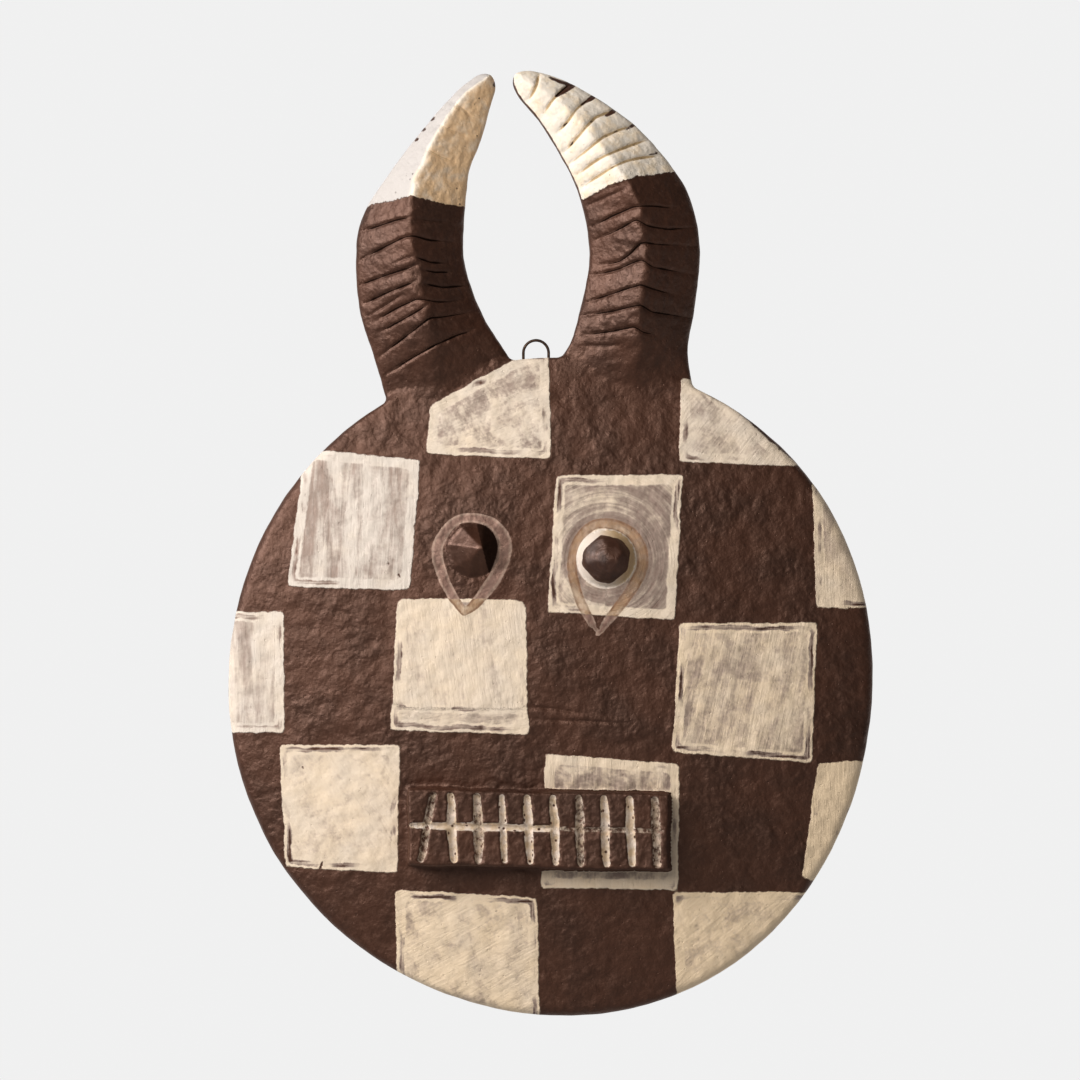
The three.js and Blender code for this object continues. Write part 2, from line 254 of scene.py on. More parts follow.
class Horn:
    """A ridged horn. Place counts stations from root to tip; across runs from -1, left, to 1, right."""

    TIP = 0.4
    SAMPLES = 40

    def __init__(self, shape):
        self.shape = shape
        self.seed = shape["seed"]
        self.last = len(shape["crest"]) - 1
        places = np.linspace(0, self.last, self.last * self.SAMPLES + 1)
        place, across = np.meshgrid(places, np.linspace(-1, 1, 61), indexing="ij")
        self.place, self.across = place.ravel(), across.ravel()
        self.tree = tree_of(zip(*self.spot(self.place, self.across)), len(self.place))

    def spot(self, place, across):
        left, right = along(self.shape["left"], place), along(self.shape["right"], place)
        crest = along(self.shape["crest"], place)
        ridge = left * (1 - crest) + right * crest
        side = np.where(across[:, None] < 0, left, right)
        from_tip = np.clip((self.last - place) / self.TIP, 0, 1)
        narrow = np.sqrt(np.clip(1 - (1 - from_tip) ** 2, 0.01, 1))
        spot = ridge + (side - ridge) * (np.abs(across) * narrow)[:, None]
        return spot[:, 0] * HORN_HEIGHT, SADDLE_Z + spot[:, 1] * HORN_HEIGHT

    def width(self, place):
        left, right = along(self.shape["left"], place), along(self.shape["right"], place)
        return np.hypot(*(right - left).T) * HORN_HEIGHT

    def find(self, x, z):
        """Place and across of each point, for points on or near the horn."""
        nearest = np.array([self.tree.find((px, pz, 0))[1] for px, pz in zip(x, z)])
        place, across = self.place[nearest].copy(), self.across[nearest].copy()
        step = 0.01
        for _ in range(3):
            sx, sz = self.spot(place, across)
            ax, az = self.spot(place + step, across)
            bx, bz = self.spot(place, across + step)
            ux, uz, vx, vz = (ax - sx) / step, (az - sz) / step, (bx - sx) / step, (bz - sz) / step
            det = ux * vz - uz * vx
            det = np.where(np.abs(det) < 1, 1, det)
            ex, ez = x - sx, z - sz
            place = np.clip(place + np.clip((ex * vz - ez * vx) / det, -0.1, 0.1), 0, self.last)
            across = np.clip(across + np.clip((ux * ez - uz * ex) / det, -0.1, 0.1), -1.3, 1.3)
        return place, across

    def thickness(self, place, across):
        """Thickness before the cuts."""
        keel = along(self.shape["keel"], place)[:, 0] * HORN_KEEL
        edge = along(self.shape["edge"], place)[:, 0] * HORN_EDGE
        bare = edge + (keel - edge) * np.clip(1 - np.abs(across), 0, 1) ** 0.9
        worn = 0.5 + 0.5 * noise(place * 1.7, across * 0, 1, self.seed + 4)
        if self.shape is LEFT_HORN:
            worn += 2.4 * np.exp(-((place - 2.75) / 0.3) ** 2)
        bare = smooth_min(bare, keel - 0.9 * worn, 0.8)
        return bare - np.clip(np.abs(across) - 1, 0, None) * 60


def tree_of(points, count):
    """A tree that finds the nearest of these points on the plane."""
    tree = KDTree(count)
    for number, (x, z) in enumerate(points):
        tree.insert((x, z, 0), number)
    tree.balance()
    return tree


horns = [Horn(LEFT_HORN), Horn(RIGHT_HORN)]

# Knife cuts across the horns, and two scratches on the face: depth and half width in mm, then their way
# across the photograph
BROWN_CUT, FAINT_CUT, TIP_CUT, SCRATCH = (1.75, 0.8), (0.9, 0.65), (1.4, 1.0), (0.55, 0.6)
CUTS = (
    (BROWN_CUT, (361, 231), (380, 225), (396, 220), (411, 217)),
    (FAINT_CUT, (418, 219), (432, 221), (448, 221)),
    (BROWN_CUT, (361, 259), (380, 249), (402, 238), (413, 236), (430, 240), (453, 242)),
    (BROWN_CUT, (415, 257), (430, 262), (446, 263)), (FAINT_CUT, (394, 263), (404, 259), (414, 256)),
    (BROWN_CUT, (358, 285), (380, 277), (402, 270), (417, 265)),
    (BROWN_CUT, (423, 270), (435, 272), (450, 272)),
    (BROWN_CUT, (364, 303), (390, 291), (417, 281)), (BROWN_CUT, (424, 284), (442, 287), (467, 285)),
    (FAINT_CUT, (369, 315), (388, 303), (404, 294)),
    (BROWN_CUT, (374, 321), (395, 309), (417, 299), (438, 302), (464, 300)),
    (BROWN_CUT, (379, 332), (400, 321), (418, 311), (427, 305)),
    (BROWN_CUT, (379, 356), (398, 342), (415, 329), (430, 318), (441, 317), (477, 311)),
    (BROWN_CUT, (386, 374), (410, 359), (435, 345), (455, 336), (474, 329)),
    (SCRATCH, (453, 101), (463, 108), (471, 116)), (SCRATCH, (438, 123), (450, 129), (464, 134)),
    (SCRATCH, (427, 149), (440, 156), (454, 161)),
    (FAINT_CUT, (590, 204), (608, 196), (626, 189)),
    (BROWN_CUT, (593, 225), (612, 216), (633, 207), (652, 206), (678, 208)),
    (BROWN_CUT, (594, 240), (617, 230), (636, 220), (648, 226), (668, 229), (696, 227)),
    (BROWN_CUT, (600, 265), (620, 261), (631, 253), (641, 243), (655, 244), (696, 246)),
    (BROWN_CUT, (590, 275), (615, 270), (641, 260), (653, 267), (693, 274)),
    (BROWN_CUT, (583, 303), (610, 294), (640, 285), (653, 289), (676, 295)),
    (BROWN_CUT, (581, 315), (612, 311), (640, 305), (653, 312), (693, 318)),
    (BROWN_CUT, (583, 335), (612, 331), (634, 327), (643, 332), (656, 335)),
    (FAINT_CUT, (584, 345), (604, 346), (618, 345)),
    (TIP_CUT, (528, 99), (534, 90), (537, 82), (539, 72)),
    (TIP_CUT, (544, 112), (552, 100), (560, 91), (571, 82)),
    (TIP_CUT, (557, 133), (569, 119), (577, 108), (592, 95)),
    (TIP_CUT, (564, 152), (580, 134), (595, 117), (614, 109)),
    (TIP_CUT, (570, 163), (588, 149), (603, 137), (620, 129), (633, 124)),
    (TIP_CUT, (577, 174), (600, 158), (625, 147), (650, 138)),
    (TIP_CUT, (583, 186), (607, 170), (628, 160), (662, 154)),
    (SCRATCH, (526, 707), (556, 709), (587, 714)), (SCRATCH, (536, 720), (580, 721), (626, 723)),
)


def cut_field(x, z):
    """Depth in mm of the knife cuts at each point, and the distance to the nearest one's middle line."""
    depth, nearest = np.zeros(len(x)), np.full(len(x), 99.0)
    for number, ((deep, half), *spots) in enumerate(CUTS):
        curve = cut_curve(spots)
        low, high = curve.min(0) - 6, curve.max(0) + 6
        near = np.nonzero((x > low[0]) & (x < high[0]) & (z > low[1]) & (z < high[1]))[0]
        px, pz = x[near], z[near]
        off, share = np.full(len(near), 99.0), np.zeros(len(near))
        for step, (a, b) in enumerate(zip(curve[:-1], curve[1:])):
            way, distance = to_stretch(px, pz, a, b)
            share = np.where(distance < off, (step + way) / (len(curve) - 1), share)
            off = np.minimum(off, distance)
        taper = smoothstep(np.minimum(share, 1 - share), 0, 0.22)
        hand = 0.85 + 0.3 * noise(px, pz, 8, 40 + number) + 0.2 * noise(px, pz, 2.5, 80 + number)
        notch = np.clip(1 - off / (half * (0.7 + 0.3 * taper)), 0, 1)
        depth[near] = np.maximum(depth[near], notch * deep * (0.25 + 0.75 * taper) * hand)
        nearest[near] = np.minimum(nearest[near], off)
    return depth, nearest


def cut_curve(spots):
    """A line in mm through places given in the photograph's pixels, nearly straight between them."""
    stations = on_surface(spots)
    place = np.linspace(0, len(stations) - 1, len(stations) * 5)
    straight = np.stack([np.interp(place, np.arange(len(stations)), stations[:, k]) for k in (0, 1)], 1)
    curve = straight * 0.65 + along(stations, place) * 0.35
    return curve + 0.14 * np.stack([noise(*curve.T, 7, 91), noise(*curve.T, 5, 92)], 1)


def horn_edge(horn, side):
    """Points down one edge of a horn, from its tip to where it enters the face."""
    place = np.linspace(horn.last, 0, horn.last * 60)
    across = np.full(place.shape, float(side))
    x, z = horn.spot(place, across)
    middle_x, middle_z = horn.spot(place, across * 0)
    away = np.hypot(x - middle_x, z - middle_z) + 1e-6
    inwards = 0.3 + 0.35 * cut_field(x, z)[0] + 0.22 * noise(x, z, 9, 5 + side) + 0.1 * noise(x, z, 3.5, 6)
    x, z = x + (middle_x - x) / away * inwards, z + (middle_z - z) / away * inwards
    reach, edge = face_polar(x, z)
    inside = np.nonzero((reach < edge) & (place < 3))[0][0]
    return np.stack([x, z], 1)[:inside]


def resample(points, spacing):
    """The same open line with even spacing."""
    length = np.concatenate([[0], np.cumsum(np.hypot(*np.diff(points, axis=0).T))])
    count = max(2, int(round(length[-1] / spacing)) + 1)
    at = np.linspace(0, length[-1], count)
    return np.stack([np.interp(at, length, points[:, k]) for k in (0, 1)], 1)


def from_face(angle, radius):
    """Places at these angles and distances from the middle of the face."""
    return np.stack([FACE_X + radius * np.cos(angle), FACE_Z + radius * np.sin(angle)], 1)


def face_arc(first, last):
    """Points round the face's edge between two angles, counter-clockwise, a little hand-cut."""
    angle = np.linspace(first, last, 900)
    length = angle * FACE_RADIUS
    wobble = 0.25 * noise(length, angle * 0, 24, 3) + 0.12 * noise(length, angle * 0, 7, 4)
    return from_face(angle, face_edge(angle) - 0.35 + wobble)


def angle_of(point):
    return math.atan2(point[1] - FACE_Z, point[0] - FACE_X) % (2 * math.pi)


def make_outline():
    """The mask's outline, counter-clockwise as seen from the front."""
    left_outer, left_inner = horn_edge(horns[0], -1), horn_edge(horns[0], 1)
    right_inner, right_outer = horn_edge(horns[1], -1), horn_edge(horns[1], 1)
    around = face_arc(angle_of(left_outer[-1]), angle_of(right_outer[-1]) + 2 * math.pi)
    saddle = face_arc(angle_of(right_inner[-1]), angle_of(left_inner[-1]))
    loop = [around, right_outer[::-1], right_inner, saddle, left_inner[::-1], left_outer, around[:1]]
    loop = resample(np.vstack(loop), OUTLINE_SPACING)[:-1]
    soft = sum(np.roll(loop, shift, 0) for shift in (-2, -1, 0, 1, 2)) / 5
    corner = np.hypot(*(soft - loop).T)[:, None]
    tips = np.clip((loop[:, 1:] - SADDLE_Z) / HORN_HEIGHT - 0.9, 0, 0.1) * 10
    return loop + (soft - loop) * smoothstep(corner, 0.05, 0.3) * (1 - tips)


outline = make_outline()
outline_tree = tree_of(outline, len(outline))


def inset(points):
    """Signed distance of each point inside the outline."""
    index = np.array([outline_tree.find((x, z, 0))[1] for x, z in points])
    best = np.full(len(points), 1e9)
    sign = np.ones(len(points))
    for step in (-1, 0):
        a = outline[(index + step) % len(outline)]
        b = outline[(index + step + 1) % len(outline)]
        run = b - a
        t = np.clip(((points - a) * run).sum(1) / (run ** 2).sum(1), 0, 1)
        off = points - (a + run * t[:, None])
        distance = np.hypot(*off.T)
        left = run[:, 0] * off[:, 1] - run[:, 1] * off[:, 0]
        closer = distance < best
        best = np.where(closer, distance, best)
        sign = np.where(closer, np.where(left >= 0, 1, -1), sign)
    return best * sign


# Form of the eye knobs and the mouth

# Each knob stands at shares of the face's radius from its middle. Its whittled facets are the way they face
#  in degrees, their foot's distance from the knob's middle in mm, their rise for each mm inwards, and their
#  foot's height. The lee is where the side away from the light starts, and painted shade covers it.
KNOBS = (
    dict(at=(-0.239, 0.411), reach=13.8, lee=(3.6, 4.6), facets=(
        (2, 12.2, 1.6, 0), (46, 12.6, 1.5, 0), (91, 12.8, 1.2, 0), (141, 13.3, 0.88, 0),
        (192, 13.2, 0.8, 0), (238, 13.7, 0.9, 0), (281, 13.8, 0.9, 0), (318, 12.9, 1.3, 0),
        (120, 4, 0.35, 10.8), (215, 3, 0.4, 10.9))),
    dict(at=(0.163, 0.386), reach=14.1, lee=(-4, 9), facets=(
        (352, 11.0, 1.0, 5.8), (38, 11.6, 1.0, 5.8), (77, 10.9, 0.85, 5.8), (131, 10.6, 0.66, 5.8),
        (172, 11.5, 0.58, 5.8), (222, 10.9, 0.6, 5.8), (259, 11.6, 0.68, 5.8), (309, 10.8, 0.85, 5.8),
        (165, 4, 0.22, 10.2), (70, 3, 0.4, 10.8), (275, 3.4, 0.36, 10.4))),
)
COLLAR_SLOPE = 1.75


def knob_middle(knob):
    return FACE_X + knob["at"][0] * FACE_RADIUS, FACE_Z + knob["at"][1] * FACE_RADIUS


def knob_height(knob, x, z):
    """Height of a whittled knob over its seat, and the distance inside the foot of its raised facets."""
    middle_x, middle_z = knob_middle(knob)
    x, z = x - middle_x, z - middle_z
    height = np.minimum(KNOB_HEIGHT, (knob["reach"] - np.hypot(x, z)) * COLLAR_SLOPE)
    cap = np.full(np.shape(x), 99.0)
    for facing, foot, slope, level in knob["facets"]:
        out = x * math.cos(math.radians(facing)) + z * math.sin(math.radians(facing))
        height = smooth_min(height, level + (foot - out) * slope, 0.5)
        if foot > KNOB_RADIUS / 2:
            cap = smooth_min(cap, foot - out, 1.3)
    return height, cap


MOUTH_X = FACE_X - MOUTH_OFFSET
MOUTH_Z = FACE_Z - MOUTH_DROP
MOUTH_FRONT = float(face_thickness(MOUTH_X, MOUTH_Z)) + MOUTH_RISE
MOUTH_WALL = 0.9
MOUTH_BEVEL = 1.3
MOUTH_CORNER = 1.6


def mouth_warp(x, z):
    """The hand's drift in the mouth's straight lines."""
    return (0.55 * noise(x, z, 17, 21) + 0.2 * noise(x, z, 6, 22),
            0.5 * noise(x, z, 19, 23) + 0.2 * noise(x, z, 6, 24))


def to_mouth(x, z):
    """Across and up from the middle of the mouth, with the drift taken out."""
    dx, dz = mouth_warp(x, z)
    across = x - dx - MOUTH_X
    return across, z - dz - MOUTH_Z + MOUTH_LEAN * across


def from_mouth(across, up):
    x, z = MOUTH_X + across, MOUTH_Z + up - MOUTH_LEAN * across
    for _ in range(4):
        dx, dz = mouth_warp(x, z)
        x, z = MOUTH_X + across + dx, MOUTH_Z + up - MOUTH_LEAN * across + dz
    return x, z


def block_inset(across, up):
    """Signed distance inside the mouth block's rounded outline."""
    corner = MOUTH_CORNER
    dx = np.abs(across) - (MOUTH_WIDTH / 2 - corner)
    dz = np.abs(up) - (MOUTH_HEIGHT / 2 - corner)
    outside = np.hypot(np.clip(dx, 0, None), np.clip(dz, 0, None))
    return corner - outside - np.clip(np.maximum(dx, dz), None, 0)


# How much cream each tooth has kept, from left to right
TOOTH_PAINT = (0.42, 1, 0.5, 0.86, 0.8, 0.82, 0.48, 0.72, 0.82, 0.44)


def tooth_lines():
    """Each upright cut and the bite line as (foot, head, half width, depth, share of cream)."""
    first = TOOTH_OFFSET - TOOTH_PITCH * (TOOTH_COUNT - 1) / 2
    lines = []
    for i in range(TOOTH_COUNT):
        x = first + i * TOOTH_PITCH
        tilt = 3.0 if i == 0 else -0.7
        half = TOOTH_LENGTH / 2 - 1.6
        width = TOOTH_WIDTH / 2 * (0.84 + 0.22 * float(hashed(np.int64(i), np.int64(3), 5)))
        lines.append(((x - tilt, -half), (x + tilt, half), width, TOOTH_DEPTH, TOOTH_PAINT[i]))
    start = -MOUTH_WIDTH / 2 + 2.2
    split = 8.0
    lines.append(((start, 0.6), (split, 0.2), BITE_WIDTH / 2, BITE_DEPTH * 0.8, 1))
    lines.append(((split + 3, 0.1), (MOUTH_WIDTH / 2 - 4, 0.4), BITE_WIDTH / 3.2, BITE_DEPTH * 0.45, 0.36))
    return lines


TEETH = tooth_lines()


def capsule(across, up, line):
    """Signed distance inside a round-ended straight cut."""
    foot, head, half = line[:3]
    share, off = to_stretch(across, up, foot, head)
    return half * (1.0 - 0.25 * (2 * share - 1) ** 2) - off


# Relief of the whole front


def wood_relief(x, z):
    """Tool marks and brushed paint over the face."""
    broad = 0.55 * noise(x, z, 46, 31) + 0.34 * noise(x, z, 19, 32)
    lumps = 0.3 * noise(x, z, 8.5, 33) + 0.24 * noise(x, z, 4.6, 34)
    turn = 0.9 * noise(x, z, 60, 35) + 0.5
    along_x = x * np.cos(turn) + z * np.sin(turn)
    along_z = -x * np.sin(turn) + z * np.cos(turn)
    bristles = 0.12 * noise(along_x * 0.35, along_z, 2.3, 36)
    marks = 0.35 * np.clip(scoops(x, z, 21, 37) - 0.1, 0, 0.6)
    return broad + lumps + bristles + marks


# Fields of the mesh that the paint reads, and that aren't 0 but well outside away from their own shapes
OUTSIDE = -9
NOWHERE = dict(tip=-50, missed=OUTSIDE, tooth=OUTSIDE, knob=OUTSIDE, cap=OUTSIDE, patch=-99, tear=99)

# How dark with age the right horn's tip is all over, where the left one's has a pale lit side and a dark side
# of painted shade and age
RIGHT_TIP_SHADE = 0.36

# Short strokes that the cream missed, in the photograph's pixels, and their half width in mm
MISSED = (((571, 84), (549, 76), 1.3), ((572, 84), (557, 95), 1.9), ((593, 96), (582, 104), 1.4),
          ((614, 110), (606, 115), 1.2), ((634, 124), (627, 128), 1.1), ((657, 152), (650, 154), 0.7),
          ((498, 77), (494, 84), 1.6), ((433, 117), (431, 119), 0.9), ((424, 128), (422, 130), 0.8),
          ((417, 138), (415, 140), 0.9), ((302, 768), (303, 769), 1.0), ((322, 777), (323, 779), 0.8),
          ((389, 563), (390, 564), 0.9), ((399, 575), (400, 577), 0.9), ((320, 870), (322, 863), 1.0),
          ((497, 912), (499, 913), 0.9))


def raise_horns(x, z, thickness, relief, paint):
    """The horns, joined softly to the face, with the cream of their tips, painted shade on the left tip's
    side away from the light, and age on the right tip.
    """
    near = np.nonzero(z > SADDLE_Z - 0.24 * HORN_HEIGHT)[0]
    x, z = x[near], z[near]
    for horn in horns:
        place, across = horn.find(x, z)
        spot_x, spot_z = horn.spot(place, across)
        off = np.hypot(spot_x - x, spot_z - z)
        drift = across + 0.07 * noise(place * 2.6, across * 0, 1, horn.seed + 5) * (1 - np.abs(across))
        body = horn.thickness(place, drift) - 3 * off
        body += 0.3 * noise(across * 9, place * 3.2, 1, horn.seed + 8) + 0.16 * noise(x, z, 3.1, 51)
        face = thickness[near]
        thickness[near] = smooth_max(face, body, 3.5)
        relief[near] *= 1 - 0.75 * smoothstep(body - face, -1, 3)
        on_tip = (off < 1.5) & (place > 3)
        line = np.interp(x, *on_surface(horn.shape["paint_line"]).T)
        paint["tip"][near] = np.where(on_tip, z - line, paint["tip"][near])
        # Painted shade: 0 on the left tip's lit side, 1 on its side away from the light.
        shade = smoothstep(drift, -0.22, 0.2)
        if horn is horns[1]:
            shade = RIGHT_TIP_SHADE
            strip = 1.3 + (place - horn.last) * 0.1 - (1 + across) * horn.width(place) / 2
            paint["missed"][near] = np.where(on_tip, strip, OUTSIDE)
        paint["shade"][near] = np.where(on_tip, shade, paint["shade"][near])


def cut_and_miss(x, z, thickness, paint):
    """The knife cuts, the wood swelling between them, and the strokes that the cream missed."""
    paint["recess"][:], nearest = cut_field(x, z)
    swell = np.where(paint["tip"] > 0, 0.8, 0.4) * smoothstep(nearest, 0, 3.6) * (z > SADDLE_Z - 20)
    burr = 0.22 * np.exp(-((nearest - 1.5) / 0.6) ** 2)
    thickness += swell + burr - paint["recess"]
    for start, end, size in MISSED:
        share, off = to_stretch(x, z, *on_surface((start, end)))
        paint["missed"][:] = np.maximum(paint["missed"], size * (0.8 - 0.4 * share) - off)


def raise_mouth(x, z, thickness, relief, paint):
    """The mouth block with its teeth cut in, and the shallow moat that the knife left round it."""
    across, up = to_mouth(x, z)
    block = block_inset(across, up)
    is_block = block > 0
    wall = smoothstep(block, 0, MOUTH_WALL) * 0.8 + 0.2 * np.clip(block / MOUTH_WALL, 0, 1)
    bevel = 1 - np.clip((block - MOUTH_WALL) / MOUTH_BEVEL, 0, 1)
    top = MOUTH_FRONT - 0.8 * (1 - np.sqrt(1 - bevel ** 2 * 0.98))
    top += 0.3 * noise(across, up, 13, 41) + 0.14 * noise(across, up, 4.5, 42)
    tooth = paint["tooth"]
    for line in TEETH:
        deep = capsule(across, up, line)
        sunk = smoothstep(deep, 0, 1.3) * line[3]
        top -= np.clip(sunk - np.clip(MOUTH_FRONT + 1 - top, 0, None) + 1, 0, sunk)
        paint["recess"][:] = np.maximum(paint["recess"], sunk * is_block)
        paint["rubbed"][:] = np.where(deep > tooth, line[4], paint["rubbed"])
        tooth[:] = np.maximum(tooth, deep)
    tooth[~is_block] = OUTSIDE
    thickness += np.where(is_block, (top - thickness) * wall, 0)
    thickness -= 0.25 * np.exp(-((block + 1.5) / 1.8) ** 2) * ~is_block
    relief *= np.where(is_block, 1 - wall, 1)


def raise_knobs(x, z, thickness, relief, paint):
    """The whittled eye knobs, with painted shade on each one's side away from the light: near black on the
    left one, and tan on the right one's cream collar.
    """
    for knob in KNOBS:
        height, cap = knob_height(knob, x, z)
        middle_x, middle_z = knob_middle(knob)
        on = height > 0
        lee = smoothstep((x - middle_x) + 0.25 * (z - middle_z), *knob["lee"]) * on
        seat = float(face_thickness(middle_x, middle_z))
        thickness[on] = np.maximum(thickness, seat + height)[on]
        relief[on] *= 0.3
        paint["polish"][:] = np.maximum(paint["polish"], smoothstep(height, 0, 2))
        # Painted shade on the knob's lee: the left one's joins the cuts' near black, the right one's tans its
        # collar.
        dark = "recess" if knob is KNOBS[0] else "shade"
        paint[dark][:] = np.maximum(paint[dark], lee)
    paint["knob"][:], paint["cap"][:] = height, cap


def front(points, edge_distance):
    """Thickness in mm at each point of the front, and what the paint needs to know there."""
    x, z = points.T
    thickness, relief = face_thickness(x, z), wood_relief(x, z)
    fields = ("recess", "tip", "missed", "shade", "tooth", "rubbed", "knob", "cap", "polish")
    paint = {name: np.full(len(x), float(NOWHERE.get(name, 0))) for name in fields}
    raise_horns(x, z, thickness, relief, paint)
    cut_and_miss(x, z, thickness, paint)
    raise_mouth(x, z, thickness, relief, paint)
    raise_knobs(x, z, thickness, relief, paint)
    thickness = np.minimum(thickness + relief, DEEPEST)
    on_face = smoothstep(SADDLE_Z - 22 - z, 0, 25)
    rounding = HORN_ROUND + (FRONT_ROUND - HORN_ROUND) * on_face
    short = np.clip(rounding - edge_distance, 0, None)
    return thickness - rounding + np.sqrt(np.clip(rounding ** 2 - short ** 2, 0, None)), paint


def back(points, edge_distance):
    """Depth of the back behind its flat plane at each point."""
    x, z = points.T
    reach, edge = face_polar(x, z)
    sunk = np.interp(edge - reach, (BACK_RIM_WIDTH, BACK_RIM_WIDTH + HOLLOW_SLOPE / 2,
                                    BACK_RIM_WIDTH + HOLLOW_SLOPE, FACE_RADIUS * 0.6),
                     (0, HOLLOW_DEPTH * 0.66, HOLLOW_DEPTH * 0.9, HOLLOW_DEPTH))
    share = sunk / HOLLOW_DEPTH
    marks = 1.1 * np.clip(0.5 - scoops(x * 1.4, z, 17, 61), 0, 0.5) * share
    plane = 0.12 + 0.12 * noise(x, z, 14, 62) + 0.25 * np.clip(0.4 - scoops(x, z * 1.3, 15, 63), 0, 0.4)
    corner = np.clip(BACK_ROUND - edge_distance, 0, None)
    return sunk + marks + np.clip(plane, 0, None) + corner


# The plan of the mesh: lines that it keeps, and points that fill it


class Plan:
    """Points and lines on the plane, to be joined into triangles."""

    def __init__(self):
        self.points = [outline]
        self.count = len(outline)
        ring = np.arange(self.count)
        self.edges = [np.stack([ring, np.roll(ring, -1)], 1)]

    def scatter(self, points):
        """Adds loose points and gives their numbers."""
        self.points.append(points)
        self.count += len(points)
        return np.arange(self.count - len(points), self.count)

    def line(self, points, closed=False):
        """Adds points and the edges between them."""
        index = self.scatter(points)
        pairs = np.stack([index, np.roll(index, -1)], 1)
        self.edges.append(pairs if closed else pairs[:-1])

    def fill(self, spacing, wanted, seed, clear=0.62):
        """A shaken triangular grid over the points that wanted() accepts."""
        low, high = outline.min(0), outline.max(0)
        xs = np.arange(low[0], high[0], spacing)
        zs = np.arange(low[1], high[1], spacing * math.sqrt(3) / 2)
        gx, gz = np.meshgrid(xs, zs)
        gx = gx + (np.arange(len(zs)) % 2)[:, None] * spacing / 2
        draw = np.random.default_rng(seed)
        points = np.stack([gx.ravel(), gz.ravel()], 1) + draw.uniform(-0.18, 0.18, (gx.size, 2)) * spacing
        points = points[wanted(points)]
        lines = tree_of(np.vstack(self.points), self.count)
        far = np.array([lines.find((x, z, 0))[2] > spacing * clear for x, z in points])
        return points[far]

    def mesh(self, filling):
        """Triangles, their corners on the plane, and the corner number of each point of the outline."""
        points = np.vstack(self.points + filling)
        edges = np.vstack(self.edges).tolist()
        result = delaunay_2d_cdt([Vector(p) for p in points], edges, [list(range(len(outline)))], 1, 1e-4)
        corners = np.array([tuple(v) for v in result[0]])
        rim = np.full(len(outline), -1)
        for number, sources in enumerate(result[3]):
            for source in sources:
                if source < len(outline):
                    rim[source] = number
        return np.array(result[2]), corners, rim


def inwards():
    """The way inwards across the outline at each of its points."""
    run = np.roll(outline, -1, 0) - np.roll(outline, 1, 0)
    run /= np.hypot(*run.T)[:, None]
    return np.stack([-run[:, 1], run[:, 0]], 1)


def offset_ring(distance):
    """The outline moved inwards, without the points that its corners push too close to the edge."""
    moved = outline + inwards() * distance
    return moved[inset(moved) > distance * 0.93]


def is_horn(points):
    reach, edge = face_polar(*points.T)
    z = points[:, 1]
    return (z > SADDLE_Z - 0.1 * HORN_HEIGHT) & ((reach > edge - 6) | (z > SADDLE_Z - 4))


def is_mouth(points):
    return block_inset(*to_mouth(*points.T)) > -3


def is_knob(points):
    near = np.zeros(len(points), bool)
    for knob in KNOBS:
        x, z = knob_middle(knob)
        near |= np.hypot(points[:, 0] - x, points[:, 1] - z) < KNOB_RADIUS * 1.35
    return near


def add_cut_lines(plan):
    """The bottom and both lips of every knife cut and scratch."""
    for (deep, half), *spots in CUTS:
        curve = resample(cut_curve(spots), 1.0)
        ahead = np.vstack([curve[1:], curve[-1:]]) - np.vstack([curve[:1], curve[:-1]])
        ahead /= np.hypot(*ahead.T)[:, None]
        for shift in (-half, 0, half):
            moved = curve + np.stack([-ahead[:, 1], ahead[:, 0]], 1) * shift
            inside = np.nonzero(inset(moved) > 0.5)[0]
            if len(inside) > 2:
                plan.line(moved[inside[0]:inside[-1] + 1])


def block_ring(distance):
    """A line round the mouth block at a distance inside its outline."""
    corner = MOUTH_CORNER - distance
    half = (MOUTH_WIDTH / 2 - distance, MOUTH_HEIGHT / 2 - distance)
    turns = np.linspace(0, math.pi / 2, 5) if corner > 0.1 else np.array([math.pi / 4])
    corner = max(corner, 0.05)
    points = []
    for sign_x, sign_z, start in ((1, 1, 0), (-1, 1, 1), (-1, -1, 2), (1, -1, 3)):
        for turn in turns:
            angle = turn + start * math.pi / 2
            points.append((sign_x * (half[0] - corner) + corner * math.cos(angle),
                           sign_z * (half[1] - corner) + corner * math.sin(angle)))
    loop = resample(np.array(points + points[:1]), 0.9)[:-1]
    return np.stack(from_mouth(*loop.T), 1)


def capsule_ring(line, distance):
    """A line round a straight cut at a distance inside its lip."""
    (ax, az), (bx, bz), half = line[:3]
    radius = half - distance
    facing = math.atan2(bz - az, bx - ax)
    points = []
    for (cx, cz), start in (((bx, bz), facing - math.pi / 2), ((ax, az), facing + math.pi / 2)):
        for turn in np.linspace(0, math.pi, 7):
            points.append((cx + radius * math.cos(start + turn), cz + radius * math.sin(start + turn)))
    loop = resample(np.array(points + points[:1]), 0.95)[:-1]
    return np.stack(from_mouth(*loop.T), 1)


def make_front():
    plan = Plan()
    for distance in (0.3, 0.9, 1.8, 2.9, 4.1):
        plan.scatter(offset_ring(distance))
    add_cut_lines(plan)
    for distance in (0, MOUTH_WALL, MOUTH_WALL + 0.6, MOUTH_WALL + MOUTH_BEVEL):
        plan.line(block_ring(distance), closed=True)
    for line in TEETH:
        for distance in (0, 1.3):
            if line[2] - distance > 0.3:
                plan.line(capsule_ring(line, distance), closed=True)

    def inner(points):
        return inset(points) > 4.6

    knobs = plan.fill(0.72, is_knob, 1)
    mouth = plan.fill(0.95, lambda p: is_mouth(p) & ~is_knob(p), 2)
    horn = plan.fill(1.08, lambda p: is_horn(p) & inner(p), 3)
    rest = plan.fill(1.52, lambda p: ~is_horn(p) & ~is_mouth(p) & ~is_knob(p) & inner(p), 4)
    return plan.mesh([knobs, mouth, horn, rest])


